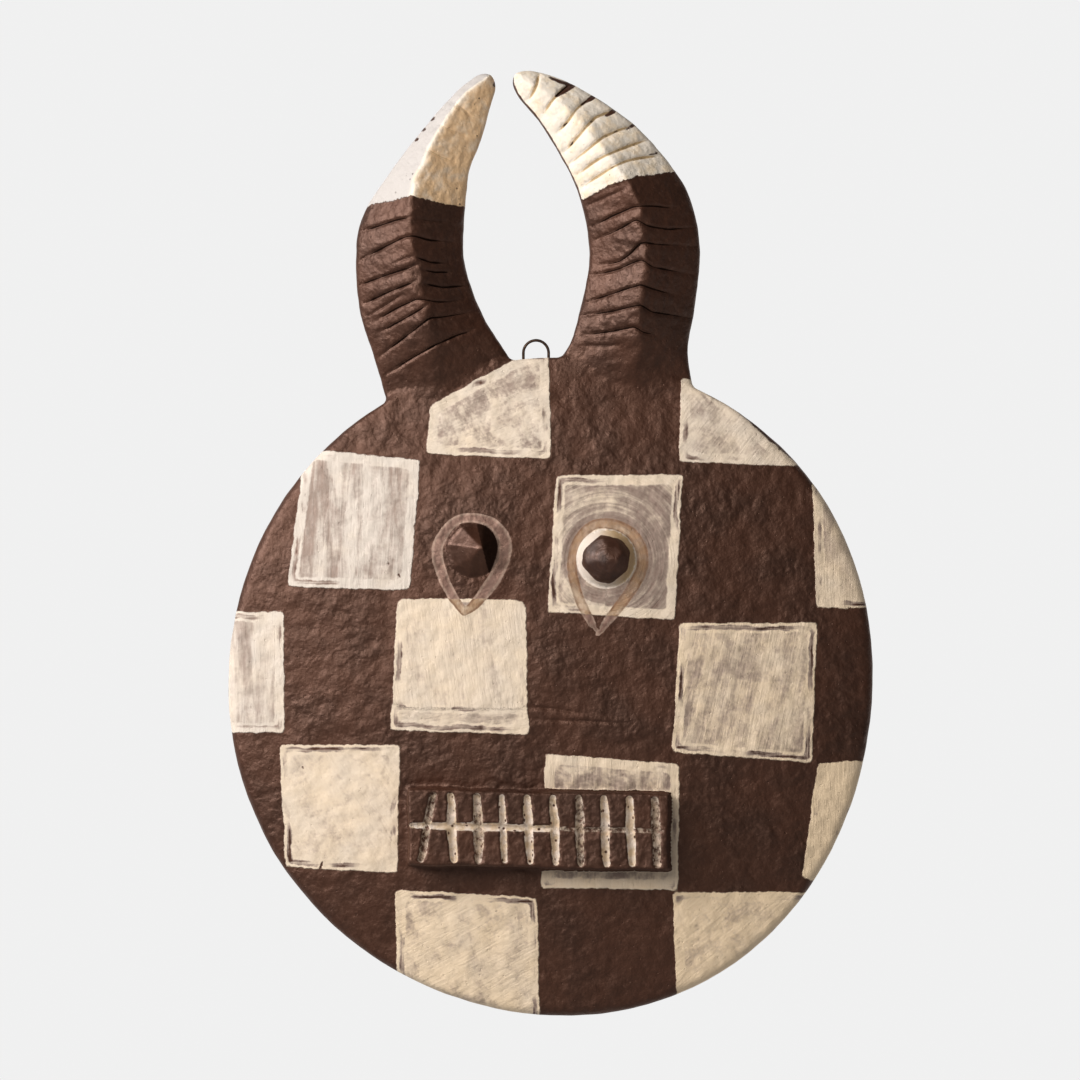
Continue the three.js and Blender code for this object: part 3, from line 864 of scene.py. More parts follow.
def make_back():
    plan = Plan()
    for distance in (0.7, BACK_ROUND, 3):
        plan.scatter(offset_ring(distance))
    angle = np.linspace(0, 2 * math.pi, 260, endpoint=False)
    for distance in (BACK_RIM_WIDTH, BACK_RIM_WIDTH + HOLLOW_SLOPE / 2):
        plan.line(from_face(angle, face_edge(angle) - distance), closed=True)
    return plan.mesh([plan.fill(2.9, lambda points: inset(points) > 4.5, 5)])


# Where the paint lies, as distances in mm stored on the mesh

# Each cream patch: its corners in the photograph, how thick the paint lies, the lean of its brush strokes in
# degrees from upright, how far they draw out, its warmth, and how starved of paint its border stroke is.
PATCHES = (
    (((430, 405), (527, 352), (549, 352), (551, 459), (426, 453)), 0.45, 70, 0.1, 0.4, 0.3),
    (((682, 378), (700, 378), (800, 466), (679, 462)), 0.56, 40, 0.4, 0.4, 0.4),
    (((304, 448), (420, 460), (410, 590), (287, 587)), 0.41, 2, 0.8, 0, 0.4),
    (((556, 475), (683, 475), (675, 620), (548, 612)), 0.14, 0, 0.7, 0.5, 0.55),
    (((813, 480), (900, 500), (880, 608), (817, 608)), 0.62, 0, 1, 0.7, 0.8),
    (((220, 612), (283, 612), (284, 733), (220, 733)), 0.54, 0, 0.9, 0.15, 0.5),
    (((397, 598), (526, 600), (528, 716), (392, 714)), 0.72, -8, 0.6, 0.5, 0.45),
    (((391, 702), (528, 704), (529, 735), (390, 730)), 0.42, 80, 0.6, 0.5, 0.4),
    (((680, 623), (818, 623), (812, 763), (672, 752)), 0.5, 12, 0.6, 0.75, 0.85),
    (((279, 745), (400, 745), (397, 873), (285, 868)), 0.78, -35, 0.15, 0.55, 0.8),
    (((546, 754), (680, 764), (678, 890), (541, 888)), 0.36, 0, 0.3, 0.65, 0.35),
    (((818, 764), (882, 760), (818, 883), (803, 878)), 0.95, 0, 0.6, 1, 0.3),
    (((395, 890), (537, 898), (540, 1030), (397, 1000)), 0.66, 62, 0.1, 0.8, 0.75),
    (((673, 893), (814, 893), (750, 970), (677, 1000)), 0.76, 50, 0.2, 1, 0.5),
)

# The patch that was brushed round the right eye
ROUND_PATCH = 3

# Rounding in mm of the patches' corners, and of those of one patch that are rounder
USUAL_CORNER = 2.2
ROUND_CORNERS = {6: 6.5}


def patch_fields(x, z):
    """What the paint of the nearest cream patch needs to know, with lengths in mm."""
    best = np.full(len(x), -99.0)
    names = ("coat", "streak", "warm", "starved", "brush_u", "brush_v", "upright")
    fields = {name: np.zeros(len(x)) for name in names}
    for number, (corners, coat, lean, draw, warm, starved) in enumerate(PATCHES):
        spots = on_surface(corners)
        inside, upright = np.full(len(x), 99.0), np.zeros(len(x))
        for a, b in zip(spots, np.roll(spots, -1, 0)):
            along_x, along_z = (b - a) / math.hypot(*(b - a))
            distance = (z - a[1]) * -along_x + (x - a[0]) * along_z
            upright = np.where(distance < inside, abs(along_z), upright)
            inside = smooth_min(inside, distance, ROUND_CORNERS.get(number, USUAL_CORNER))
        turn = math.radians(lean)
        u, v = x * math.cos(turn) - z * math.sin(turn), x * math.sin(turn) + z * math.cos(turn)
        if number == ROUND_PATCH:
            eye_x, eye_z = knob_middle(KNOBS[1])
            u, v = np.hypot(x - eye_x, z - eye_z), 12 * np.arctan2(x - eye_x, z - eye_z)
        closer = inside > best
        best = np.where(closer, inside, best)
        for name, value in zip(names, (coat, draw, warm, starved, u, v, upright)):
            fields[name] = np.where(closer, value, fields[name])
    fields["patch"] = best
    return fields


# The painted tear round each eye: its middle line and half width in the photograph's pixels
TEARS = (
    ((464, 612, 4), (453, 597, 5), (443, 577, 5.5), (437, 552, 6), (444, 533, 5.5), (458, 520, 5),
     (476, 518, 5), (493, 524, 6), (504, 540, 7.5), (503, 558, 7.5), (496, 576, 7), (485, 592, 6.5),
     (473, 606, 5), (464, 612, 4)),
    ((598, 634, 4), (586, 613, 5), (577, 592, 5), (572, 566, 5), (577, 542, 5), (592, 526, 5),
     (611, 524, 5.5), (631, 533, 6), (641, 549, 6), (642, 567, 6), (634, 585, 6), (621, 604, 5.5),
     (607, 622, 5), (599, 634, 4)),
)

# How much of its width each tear's stroke loses at its foot
TEAR_FADES = (0, 0.6)


def tear_field(x, z):
    """Distance from the tears' middle line as a share of their half width."""
    best = np.full(len(x), 99.0)
    for spots, fade in zip(TEARS, TEAR_FADES):
        stations = np.array([(*pixel(px, pz, SURFACE_DEPTH), half * PIXEL) for px, pz, half in spots])
        foot = stations[0, 1]
        faded = fade * smoothstep(z, foot + 9, foot - 1) * (0.75 + noise(x, z, 2.4, 93))
        curve = along(stations, np.linspace(0, len(stations) - 1, len(stations) * 6))
        for a, b in zip(curve[:-1], curve[1:]):
            share, distance = to_stretch(x, z, a, b)
            best = np.minimum(best, distance / (a[2] + (b[2] - a[2]) * share) + faded)
    return best


# The mask's mesh: front, sides and back share the outline's points


def make_mask():
    faces, corners, rim = make_front()
    edge_distance = np.maximum(inset(corners), 0)
    edge_distance[rim] = 0
    thickness, paint = front(corners, edge_distance)
    paint.update(patch_fields(*corners.T), tear=tear_field(*corners.T), painted=np.ones(len(corners)))
    paint["patch"][block_inset(*to_mouth(*corners.T)) > -0.2] = OUTSIDE
    front_at = np.stack([corners[:, 0], BACK_Y - thickness, corners[:, 1]], 1)

    back_faces, back_corners, back_rim = make_back()
    back_distance = np.maximum(inset(back_corners), 0)
    back_distance[back_rim] = 0
    depth = back(back_corners, back_distance)
    back_at = np.stack([back_corners[:, 0], BACK_Y - depth, back_corners[:, 1]], 1)

    walls = make_walls(front_at[rim], back_at[back_rim])
    points = np.vstack([front_at, walls, back_at])
    start_wall, start_back = len(front_at), len(front_at) + len(walls)
    wall_rings = np.arange(start_wall, start_back).reshape(-1, len(outline))
    levels = [rim, *wall_rings, start_back + back_rim]
    triangles = [faces, start_back + back_faces[:, ::-1]]
    for upper, lower in zip(levels[:-1], levels[1:]):
        upper_next, lower_next = np.roll(upper, -1), np.roll(lower, -1)
        triangles += [np.stack([upper, lower, lower_next], 1), np.stack([upper, lower_next, upper_next], 1)]

    fields = {}
    for name, values in paint.items():
        fields[name] = np.full(len(points), float(NOWHERE.get(name, 0)))
        fields[name][:start_wall] = values
        if name not in ("recess", "tooth", "tear", "painted"):
            fields[name][start_wall:start_back] = np.tile(values[rim], WALL_ROWS - 1)
    fading = 1 - np.arange(1, WALL_ROWS) / WALL_ROWS * 0.5
    fields["painted"][start_wall:start_back] = np.repeat(fading, len(outline))
    return make_object("painted_mask", points, np.vstack(triangles), fields)


def make_walls(top, bottom):
    """Rings of points down the sides, a little hollowed by the knife."""
    length = np.arange(1, len(outline) + 1) * OUTLINE_SPACING
    walls = []
    for row in range(1, WALL_ROWS):
        wall = top + (bottom - top) * row / WALL_ROWS
        dent = 0.22 * np.clip(0.4 + noise(length, wall[:, 1], 6, 71), 0, 1.4)
        dent *= math.sin(math.pi * row / WALL_ROWS)
        wall[:, ::2] += inwards() * dent[:, None]
        walls.append(wall)
    return np.vstack(walls)


def make_object(name, points, faces, fields=None):
    """A smooth-shaded mesh object from points in mm and its triangles or quads."""
    mesh = bpy.data.meshes.new(name)
    sides = faces.shape[1]
    mesh.vertices.add(len(points))
    mesh.vertices.foreach_set("co", (points * METRE).astype(np.float32).ravel())
    mesh.loops.add(faces.size)
    mesh.loops.foreach_set("vertex_index", faces.astype(np.int32).ravel())
    mesh.polygons.add(len(faces))
    mesh.polygons.foreach_set("loop_start", np.arange(0, faces.size, sides, dtype=np.int32))
    mesh.update(calc_edges=True)
    mesh.validate()
    mesh.polygons.foreach_set("use_smooth", np.ones(len(mesh.polygons), bool))
    for field, values in (fields or {}).items():
        attribute = mesh.attributes.new(field, "FLOAT", "POINT")
        attribute.data.foreach_set("value", values.astype(np.float32))
    mesh.update()
    piece = bpy.data.objects.new(name, mesh)
    bpy.context.scene.collection.objects.link(piece)
    return piece


def tube(name, route, radius, sides, wobble=0):
    """A closed tube along a route in the plane of the wall."""
    ahead = np.vstack([route[1:], route[-1:]]) - np.vstack([route[:1], route[:-1]])
    ahead /= np.linalg.norm(ahead, axis=1)[:, None]
    sideways = np.array([0.0, 1, 0])
    outwards = np.cross(sideways, ahead)
    turns = np.linspace(0, 2 * math.pi, sides, endpoint=False)
    step = np.arange(len(route)) * 1.0
    thick = radius * (1 - wobble * (0.5 + 0.5 * noise(step, step * 0, 4, 81)))
    around = [outwards * math.cos(turn) + sideways * math.sin(turn) for turn in turns]
    points = np.stack([route + thick[:, None] * way for way in around], 1).reshape(-1, 3)
    index = np.arange(len(route) * sides).reshape(len(route), sides)
    a, b = index[:-1], index[1:]
    quads = np.stack([a, np.roll(a, -1, 1), np.roll(b, -1, 1), b], -1).reshape(-1, 4)
    triangles = np.vstack([quads[:, [0, 1, 2]], quads[:, [0, 2, 3]]])
    points = np.vstack([points, route[:1], route[-1:]])
    caps = []
    for ring, middle, turn in ((index[0], len(points) - 2, 1), (index[-1], len(points) - 1, -1)):
        pair = np.stack([np.full(sides, middle), np.roll(ring, -1), ring], 1)
        caps.append(pair[:, ::turn])
    return make_object(name, points, np.vstack([triangles] + caps))


def make_wire():
    bend = LOOP_WIDTH / 2
    bend_z = WIRE_DIAMETER / 2 - bend
    foot_z = SADDLE_Z - LEG_DEPTH
    leg = np.linspace(foot_z, bend_z, 14)[:-1]
    turn = np.linspace(math.pi, 0, 33)
    x = np.concatenate([np.full(13, -bend), bend * np.cos(turn), np.full(13, bend)])
    z = np.concatenate([leg, bend_z + bend * np.sin(turn), leg[::-1]])
    return tube("wire_loop", np.stack([x, np.zeros(len(x)), z], 1), WIRE_DIAMETER / 2, 14, wobble=0.08)


# Materials


class Nodes:
    """Short calls for building a material out of nodes."""

    def __init__(self, name):
        self.material = bpy.data.materials.new(name)
        self.material.use_nodes = True
        self.tree = self.material.node_tree
        self.tree.nodes.clear()
        self.shader = self.node("BsdfPrincipled")
        self.node("OutputMaterial", (0, self.shader.outputs[0]))
        place = self.node("TexCoord").outputs["Object"]
        self.place = self.vector("MULTIPLY", place, (1 / METRE,) * 3)

    def node(self, kind, *inputs, **settings):
        """A new node with these settings, each of these inputs fed with a number, a colour or a socket."""
        node = self.tree.nodes.new("ShaderNode" + kind)
        for name, value in settings.items():
            setattr(node, name, value)
        for socket, value in inputs:
            self.feed(node.inputs[socket], value)
        return node

    def feed(self, socket, value):
        if isinstance(value, bpy.types.NodeSocket):
            self.tree.links.new(value, socket)
        else:
            socket.default_value = value

    def vector(self, operation, a, b):
        return self.node("VectorMath", (0, a), (1, b), operation=operation).outputs[0]

    def math(self, operation, a, b=0.0, clamp=False):
        return self.node("Math", (0, a), (1, b), operation=operation, use_clamp=clamp).outputs[0]

    def add(self, first, *others):
        for other in others:
            first = self.math("ADD", first, other)
        return first

    def times(self, first, *others):
        for other in others:
            first = self.math("MULTIPLY", first, other)
        return first

    def less(self, a, b, clamp=False):
        return self.math("SUBTRACT", a, b, clamp)

    def swing(self, value, amount):
        """A 0 to 1 value made to swing this far either side of 0."""
        return self.times(self.less(value, 0.5), amount * 2)

    def blend(self, share, a, b):
        """A number this far from a to b."""
        return self.add(self.times(share, self.less(b, a)), a)

    def mix(self, share, a, b):
        """A colour this far from a to b."""
        return self.node("Mix", (0, share), (6, a), (7, b), data_type="RGBA").outputs[2]

    def ramp(self, value, low, high, to_low=0.0, to_high=1.0, kind="SMOOTHSTEP"):
        """A value taken from one range to another, and kept within it."""
        inputs = enumerate((value, low, high, to_low, to_high))
        return self.node("MapRange", *inputs, interpolation_type=kind).outputs[0]

    def field(self, name):
        return self.node("Attribute", attribute_name=name).outputs["Fac"]

    def texture(self, place, detail, rough, distort):
        """Noise from 0 to 1 at a place that is counted in features."""
        inputs = {"Vector": place, "Scale": 1, "Detail": detail, "Roughness": rough, "Distortion": distort}
        return self.node("TexNoise", *inputs.items()).outputs[0]

    def plane_noise(self, u, v, size_u, size_v, detail, rough, distort):
        """Noise over two lengths in mm, with its own feature size along each."""
        u, v = self.math("DIVIDE", u, size_u), self.math("DIVIDE", v, size_v)
        place = self.node("CombineXYZ", (0, u), (1, v)).outputs[0]
        return self.texture(place, detail, rough, distort)

    def noise(self, size, detail, stretch=(1, 1, 1), rough=0.5, distort=0.0, shift=0.0, turn=0.0):
        """Noise whose features are about this many mm, stretched and turned about Y in degrees."""
        place = self.place
        if turn:
            angle = math.radians(turn)
            rotate = self.node("VectorRotate", ("Vector", place), ("Angle", angle), rotation_type="Y_AXIS")
            place = rotate.outputs[0]
        place = self.vector("MULTIPLY", place, [1 / (size * share) for share in stretch])
        if shift:
            place = self.vector("ADD", place, (shift, shift * 1.7, shift * 2.3))
        return self.texture(place, detail, rough, distort)

    def spots(self, size):
        """Distance to the nearest of scattered points, in cells of this many mm."""
        place = self.vector("MULTIPLY", self.place, (1 / size,) * 3)
        return self.node("TexVoronoi", ("Vector", place), ("Scale", 1)).outputs["Distance"]

    def bump(self, height, depth, strength):
        """A bump of this depth in mm."""
        inputs = (("Height", height), ("Distance", depth * METRE), ("Strength", strength))
        return self.node("Bump", *inputs).outputs[0]


def colour(red, green, blue):
    """An sRGB colour, from 0 to 255 a channel, as a shader colour."""
    linear = [((c / 255 + 0.055) / 1.055) ** 2.4 if c > 10 else c / 255 / 12.92 for c in (red, green, blue)]
    return (*linear, 1)


BROWN = colour(68, 39, 25)
BROWN_DARK = colour(51, 28, 17)
BROWN_DUSTY = colour(112, 82, 68)
CREAM = colour(246, 221, 188)
CREAM_PALE = colour(227, 214, 201)
# Tan cream for the horn tips' cuts, and for painted shade on the right eye's collar
CREAM_TAN_FOR_CUTS_AND_SHADE = colour(208, 180, 140)
# Tan cream for age, and for painted shade on the left tip's side away from the light
CREAM_SHADED_AND_AGED = colour(240, 204, 162)
# Greyer cream, painted light on the left tip's lit side
TIP_LIT_SIDE_GREY = colour(207, 199, 193)
TIP_PALE = colour(243, 231, 216)
TIP_WARM = colour(247, 227, 200)
THIN_PAINT = colour(158, 139, 127)
TOOTH_GREY = colour(182, 166, 148)
TOOTH_OLD = colour(206, 186, 158)
TEAR_TAN = colour(174, 140, 108)
TEAR_BROWN = colour(140, 106, 78)
TEAR_PINK = colour(160, 132, 120)
TEAR_EDGE = colour(188, 164, 148)
# Near black for the deepest cuts, and for painted shade on the left eye knob's lee
CUT_AND_LEE_BLACK = colour(26, 14, 9)
SHEEN = colour(255, 212, 192)
BARE_WOOD = colour(133, 98, 70)
BARE_DARK = colour(84, 58, 42)
WIRE_BROWN = colour(96, 78, 66)
WIRE_RUST = colour(62, 44, 34)

# Width in mm of the stroke that borders each patch
STROKE_WIDTH = 4.6


class PaintedWood(Nodes):
    """The mask's skin. Each coat is laid over the base so far, and keeps what later coats need to know."""

    def __init__(self):
        super().__init__("painted_wood")
        self.broad = self.noise(26, 4)
        self.fine = self.noise(3.2, 5, rough=0.62, shift=5)
        self.lumps = self.noise(4.0, 1, rough=0.4, shift=51)
        self.grit = self.noise(1.5, 1, rough=0.5, shift=52)
        self.blotch = self.noise(6.5, 3, rough=0.6, shift=23)
        wavy = self.swing(self.noise(11, 2), 0.9)
        self.ragged = self.add(wavy, self.swing(self.noise(2.6, 3, shift=3), 0.75))
        self.recess, self.shade = self.field("recess"), self.field("shade")
        self.missed = self.ramp(self.add(self.field("missed"), self.times(self.ragged, 0.5)), 0.2, -0.3)
        self.brown = self.brown_paint()
        self.base = self.ground()
        self.lay_patches()
        self.lay_tips()
        self.rub_teeth()
        self.lay_tears()
        self.lay_right_eye()
        self.darken_cuts_and_lee()
        self.set_shader()

    def lay(self, share, paint):
        """Covers this share of the base with paint of a colour."""
        self.base = self.mix(share, self.base, paint)

    def brown_paint(self):
        """Brown: mottled, dusty on the high spots and dark in the low ones."""
        wrinkles = self.noise(2.6, 3, stretch=(1, 1, 1.7), rough=0.55, shift=31, turn=38)
        brown = self.mix(self.ramp(self.broad, 0.35, 0.68), BROWN, BROWN_DARK)
        brown = self.mix(self.times(self.ramp(wrinkles, 0.5, 0.75), 0.3), brown, BROWN_DUSTY)
        return self.mix(self.times(self.ramp(self.fine, 0.46, 0.3), 0.45), brown, BROWN_DARK)

    def ground(self):
        """Brown in front, and bare wood with a thin wash behind and on the sides."""
        grain = self.noise(2.4, 5, stretch=(1, 1, 14), rough=0.6, distort=0.6)
        wash = self.ramp(self.noise(30, 4, rough=0.6, shift=9), 0.35, 0.62)
        bare = self.mix(grain, BARE_DARK, BARE_WOOD)
        bare = self.mix(self.times(wash, 0.75), bare, BROWN_DARK)
        painted = self.add(self.field("painted"), self.swing(self.broad, 0.25))
        return self.mix(self.ramp(painted, 0.2, 0.5), bare, self.brown)

    def brushed(self, relief):
        """How thick the cream lies within a patch: dabs in short brush strokes, runs in long ones."""
        coat, streak = self.field("coat"), self.field("streak")
        u, v = self.field("brush_u"), self.field("brush_v")
        dabs = self.plane_noise(u, v, 15, 12, 3, 0.6, 0.8)
        runs = self.plane_noise(u, v, 9, 60, 3, 0.55, 0.5)
        self.hairs = self.plane_noise(u, v, 1.4, 13, 3, 0.6, 0.6)
        hairy = self.times(self.swing(self.hairs, 0.3), self.ramp(streak, 0, 1, 0.4, 1.3, "LINEAR"))
        dry = self.times(relief, self.ramp(streak, 0, 0.9, 0.95, 0.3, "LINEAR"))
        swing = self.swing(self.blend(streak, dabs, runs), 1.2)
        swing = self.add(swing, hairy, dry, self.swing(self.fine, 0.2))
        thickness = self.add(0.42, self.times(coat, 0.62), swing)
        return self.ramp(thickness, 0.12, 1.22, self.add(0.08, self.times(coat, 0.62)), 1)

    def border(self, patch, relief):
        """How thick a patch's border stroke lies: thinner along its middle, where the brush ran dry."""
        lengthways = self.noise(5, 3, stretch=(7, 7, 0.35), rough=0.6, shift=41)
        upwards = self.noise(5, 3, stretch=(0.35, 7, 7), rough=0.6, shift=43)
        bristles = self.blend(self.field("upright"), lengthways, upwards)
        drift = self.swing(self.noise(13, 2, shift=53), 1.5)
        off_middle = self.math("ABSOLUTE", self.less(self.add(patch, drift), STROKE_WIDTH * 0.52))
        middle = self.ramp(off_middle, STROKE_WIDTH * 0.34, STROKE_WIDTH * 0.12)
        starved = self.add(self.noise(22, 2, shift=45), self.times(self.field("starved"), 0.28))
        starved = self.times(self.ramp(starved, 0.62, 0.8), self.ramp(bristles, 0.35, 0.6, 0.35, 0.95))
        gap = self.add(self.times(middle, starved), self.times(self.ramp(bristles, 0.55, 0.75), 0.18))
        return self.add(self.less(1, gap), self.math("MINIMUM", self.times(relief, 0.8), 0))

    def lay_patches(self):
        """The cream checks, grey where they are thin."""
        patch = self.add(self.field("patch"), self.ragged)
        self.inside = self.times(self.ramp(patch, -0.3, 0.35), self.missed)
        relief = self.add(self.swing(self.lumps, 0.3), self.swing(self.grit, 0.3))
        in_border = self.ramp(patch, STROKE_WIDTH + 0.7, STROKE_WIDTH - 0.5)
        cover = self.blend(in_border, self.brushed(relief), self.border(patch, relief))
        self.patch_paint = self.times(self.inside, cover)
        warm = self.math("ADD", self.field("warm"), self.swing(self.noise(14, 3, shift=19), 0.35), clamp=True)
        thin = self.mix(self.ramp(cover, 0, 0.32), self.base, THIN_PAINT)
        cream = self.mix(warm, CREAM_PALE, CREAM)
        self.lay(self.inside, self.mix(self.ramp(cover, 0.3, 0.95), thin, cream))

    def lay_tips(self):
        """The horns' cream tips: the left one greyer on its lit side and tan on the side away from the light,
        painted light and shade with some age, and tan, worn and dark in the cuts.
        """
        spiky = self.add(self.ragged, self.swing(self.noise(1.5, 3, rough=0.6, shift=49), 1.0))
        self.tip = self.times(self.ramp(self.add(self.field("tip"), spiky), -0.25, 0.3), self.missed)
        cream = self.mix(self.ramp(self.blotch, 0.42, 0.7), TIP_PALE, TIP_WARM)
        # Painted light: the left tip's lit side gets a greyer cream than its shaded side.
        cream = self.mix(self.ramp(self.shade, 0.34, 0.02), cream, TIP_LIT_SIDE_GREY)
        # Painted shade with age: tan over the left tip's shaded side, and in blotches on the right tip.
        tan_from_shade_and_age = self.times(self.ramp(self.shade, 0.3, 1), self.ramp(self.blotch, 0.25, 0.6, 0.45, 1))
        cream = self.mix(tan_from_shade_and_age, cream, CREAM_SHADED_AND_AGED)
        cream = self.mix(self.ramp(self.recess, 0.15, 0.7), cream, CREAM_TAN_FOR_CUTS_AND_SHADE)
        worn = self.times(self.ramp(self.recess, 0.5, 1.0), self.ramp(self.noise(7, 3, shift=25), 0.58, 0.66))
        cream = self.mix(worn, cream, BROWN_DARK)
        specks = self.times(self.ramp(self.spots(4.6), 0.13, 0.08), self.ramp(self.blotch, 0.5, 0.6))
        self.lay(self.tip, self.mix(self.times(specks, 0.8), cream, BROWN))

    def rub_teeth(self):
        """Cream rubbed into the mouth's cuts, with pits that it missed."""
        self.tooth = self.ramp(self.add(self.field("tooth"), self.times(self.ragged, 0.55)), -0.15, 0.3)
        kept = self.field("rubbed")
        patchy = self.swing(self.noise(2.6, 4, rough=0.65, distort=0.4, shift=27), 0.75)
        pitted = self.ramp(self.spots(3.4), 0.15, 0.27)
        rubbed = self.times(self.ramp(self.add(kept, patchy), 0.2, 0.62), pitted)
        fresh = self.mix(self.ramp(self.noise(5, 3, shift=28), 0.35, 0.65), TOOTH_OLD, CREAM_PALE)
        self.lay(self.times(self.tooth, rubbed), self.mix(self.ramp(kept, 0.3, 0.7), TOOTH_GREY, fresh))

    def lay_tears(self):
        """The see-through tear strokes, with the paint drawn out to both of their edges."""
        tear = self.add(self.field("tear"), self.swing(self.noise(5, 3, shift=30), 0.16))
        self.in_tear = self.ramp(tear, 1.06, 0.86)
        edge = self.times(self.in_tear, self.ramp(tear, 0.35, 0.8))
        cloud = self.ramp(self.noise(5, 3, rough=0.6, shift=29), 0.36, 0.62, 0.62, 1.05)
        opaque = self.add(self.ramp(edge, 0, 1, 0.7, 0.78), self.times(self.inside, 0.2))
        on_brown = self.mix(edge, TEAR_PINK, TEAR_EDGE)
        on_cream = self.mix(edge, TEAR_TAN, TEAR_BROWN)
        self.lay(self.times(self.in_tear, cloud, opaque), self.mix(self.inside, on_brown, on_cream))

    def lay_right_eye(self):
        """A cream collar round a brown cap, tan with painted shade on its side away from the light."""
        collar = self.ramp(self.field("knob"), -1.2, -0.4)
        # Painted shade: the collar's side away from the light goes tan.
        tan_from_shade_and_age = self.add(self.shade, self.swing(self.fine, 0.3))
        self.lay(collar, self.mix(tan_from_shade_and_age, CREAM_PALE, CREAM_TAN_FOR_CUTS_AND_SHADE))
        cap = self.add(self.field("cap"), self.swing(self.fine, 0.35))
        self.lay(self.times(collar, self.ramp(cap, -0.15, 0.15)), self.brown)

    def darken_cuts_and_lee(self):
        """Near black in the deepest cuts, but not in those that hold cream, and painted shade on the left eye
        knob's side away from the light.
        """
        cream = self.math("MAXIMUM", self.math("MAXIMUM", self.tip, self.tooth), self.in_tear)
        self.dark_in_cuts_and_lee = self.times(self.ramp(self.recess, 0.4, 1.2), self.less(1, cream))
        self.lay(self.times(self.dark_in_cuts_and_lee, 0.88), CUT_AND_LEE_BLACK)

    def relief(self):
        """Height in mm: lumpy paint, the cream's edges and bristles, the tips' scales, and pores."""
        thick = self.times(self.lumps, self.ramp(self.broad, 0.35, 0.65, 0.3, 0.95))
        thick = self.add(thick, self.times(self.grit, 0.24))
        smooth = self.add(self.times(self.inside, 0.45), self.times(self.field("polish"), 0.7))
        thick = self.times(thick, self.less(1, smooth, clamp=True))
        cream = self.times(self.inside, 0.26)
        bristles = self.times(self.hairs, self.inside, 0.3)
        scaly = self.times(self.tip, self.blotch, 0.5)
        pores = self.times(self.ramp(self.spots(4.2), 0.05, 0.13), 0.14)
        return self.add(thick, cream, bristles, scaly, pores)

    def set_shader(self):
        pale = self.math("MAXIMUM", self.patch_paint, self.tip)
        rough = self.add(self.ramp(self.fine, 0.3, 0.7, 0.44, 0.6, "LINEAR"), self.times(pale, 0.2))
        rough = self.less(rough, self.times(self.field("polish"), 0.12))
        gloss = self.times(self.ramp(pale, 0, 1, 0.9, 0.5, "LINEAR"), self.ramp(self.dark_in_cuts_and_lee, 0, 0.8, 1, 0.15))
        for socket, value in (("Base Color", self.base), ("IOR", 1.6), ("Specular IOR Level", gloss),
                              ("Roughness", self.add(rough, self.times(self.dark_in_cuts_and_lee, 0.3))),
                              ("Specular Tint", self.mix(pale, SHEEN, (1, 1, 1, 1))),
                              ("Normal", self.bump(self.relief(), 1, 1))):
            self.feed(self.shader.inputs[socket], value)


def wire_material():
    n = Nodes("oxidised_wire")
    rust = n.ramp(n.noise(1.6, 4, rough=0.6), 0.4, 0.65)
    for socket, value in (("Base Color", n.mix(rust, WIRE_BROWN, WIRE_RUST)),
                          ("Roughness", n.ramp(rust, 0, 1, 0.4, 0.7, "LINEAR")),
                          ("Metallic", n.ramp(rust, 0, 1, 0.9, 0.35, "LINEAR")),
                          ("Normal", n.bump(n.noise(0.5, 2), 0.05, 0.5))):
        n.feed(n.shader.inputs[socket], value)
    return n.material


# Room, light and camera

BACKDROP_Y = 8000
FLOOR_Z = -2100

# The glow of the backdrop and of the floor in front, where in mm the floor's rises to the backdrop's, and the
# glow of the world round them
BACKDROP_GLOW = 0.817
FLOOR_GLOW = 0.31
GLOW_RISES = (-500, 2500)
WORLD_GLOW = 0.11


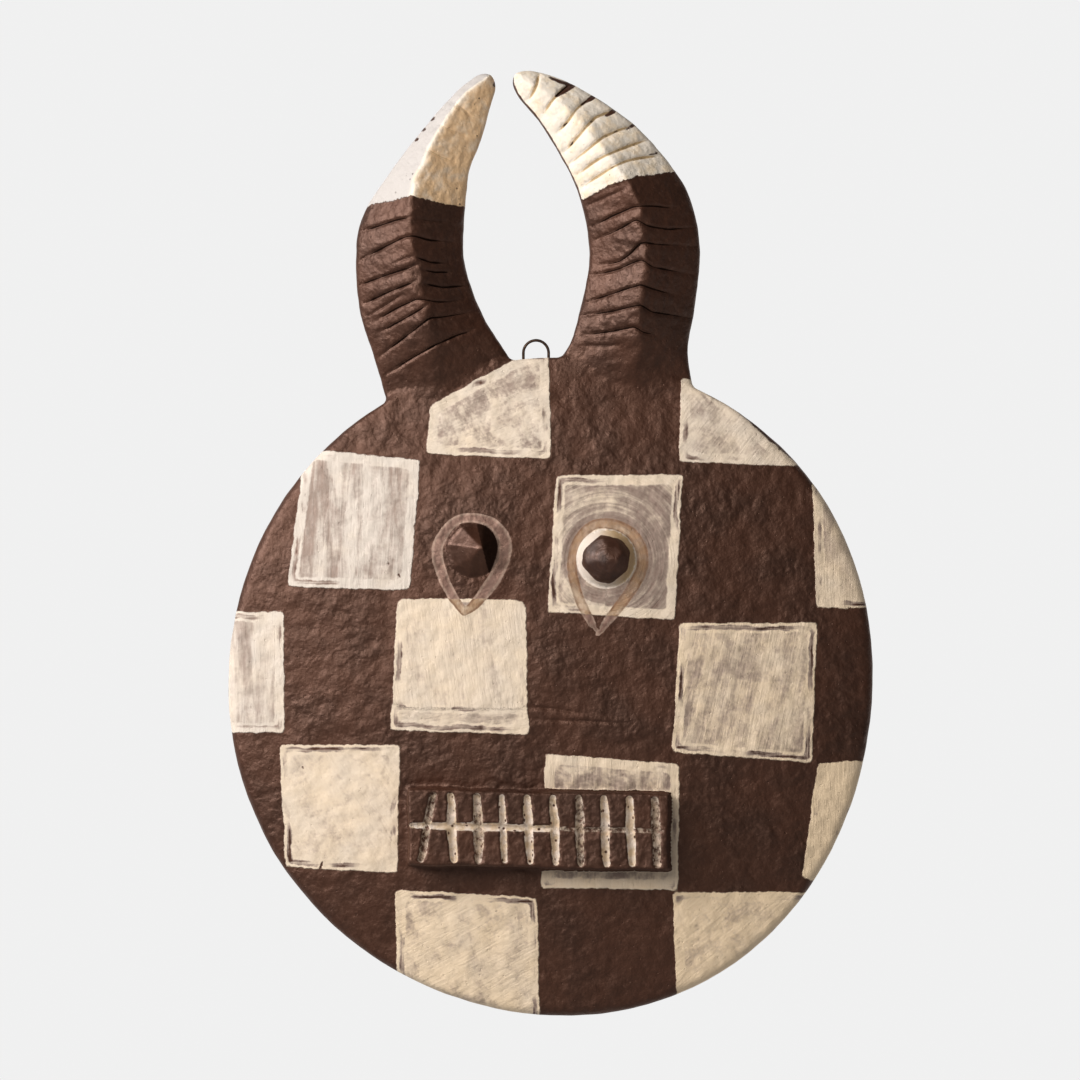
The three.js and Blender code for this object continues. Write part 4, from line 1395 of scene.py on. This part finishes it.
def make_stage():
    """A floor that curves up into a pale backdrop, too far away to take a shadow.

    It glows less in front of the mask, which so gets little light from below.
    """
    half, top, bend, front_y = 14000, 12000, 900, -9000
    turn = np.linspace(0, math.pi / 2, 17)
    profile = [(front_y, FLOOR_Z)]
    profile += [(BACKDROP_Y + bend * math.sin(t) - bend, FLOOR_Z + bend * (1 - math.cos(t))) for t in turn]
    profile += [(BACKDROP_Y, top)]
    points = np.array([(x, y, z) for y, z in profile for x in (-half, half)], float)
    faces = np.array([(2 * i, 2 * i + 1, 2 * i + 3, 2 * i + 2) for i in range(len(profile) - 1)])
    stage = make_object("backdrop", points, faces)
    n = Nodes("backdrop")
    away = n.node("SeparateXYZ", (0, n.place)).outputs[1]
    for socket, value in (("Base Color", (0, 0, 0, 1)), ("Roughness", 1), ("Specular IOR Level", 0),
                          ("Emission Color", (1, 1, 1, 1)),
                          ("Emission Strength", n.ramp(away, *GLOW_RISES, FLOOR_GLOW, BACKDROP_GLOW))):
        n.feed(n.shader.inputs[socket], value)
    stage.data.materials.append(n.material)


def area_light(name, at, aim, size, power, tint):
    """A square lamp at a place in mm, turned to look at another."""
    lamp = bpy.data.lights.new(name, "AREA")
    lamp.size = size * METRE
    lamp.energy = power
    lamp.color = tint
    holder = bpy.data.objects.new(name, lamp)
    holder.location = Vector(at) * METRE
    holder.rotation_euler = (Vector(aim) - Vector(at)).to_track_quat("-Z", "Y").to_euler()
    bpy.context.scene.collection.objects.link(holder)


def make_lights():
    middle = (0, 0, -100)
    area_light("key", (-1800, -1050, 750), middle, 1300, 41, (0.98, 0.985, 1))
    area_light("fill", (-1000, -2050, 850), middle, 1600, 28, (1, 0.97, 0.92))
    world = bpy.data.worlds.new("studio")
    world.use_nodes = True
    background = world.node_tree.nodes["Background"]
    background.inputs["Color"].default_value = (1, 1, 1, 1)
    background.inputs["Strength"].default_value = WORLD_GLOW
    bpy.context.scene.world = world


def make_camera():
    x, z = pixel(PHOTO_SIZE / 2, PHOTO_SIZE / 2)
    camera = bpy.data.cameras.new("camera")
    holder = bpy.data.objects.new("camera", camera)
    holder.location = Vector((x, -VIEW_DISTANCE, z)) * METRE
    holder.rotation_euler = (math.pi / 2, 0, 0)
    camera.sensor_fit = "HORIZONTAL"
    camera.angle = 2 * math.atan(PHOTO_SIZE * PIXEL / 2 / VIEW_DISTANCE)
    camera.clip_end = 50
    bpy.context.scene.collection.objects.link(holder)
    bpy.context.scene.camera = holder


make_camera()
make_stage()
make_lights()
view = bpy.context.scene.view_settings
view.view_transform = "Standard"
view.gamma = 0.88
view.exposure = 0.12

mask = make_mask()
mask.data.materials.append(PaintedWood().material)
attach(mask, "root")
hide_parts("mask_body")

wire = make_wire()
wire.data.materials.append(wire_material())
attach(wire, "root")
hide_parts("hanging_wire")
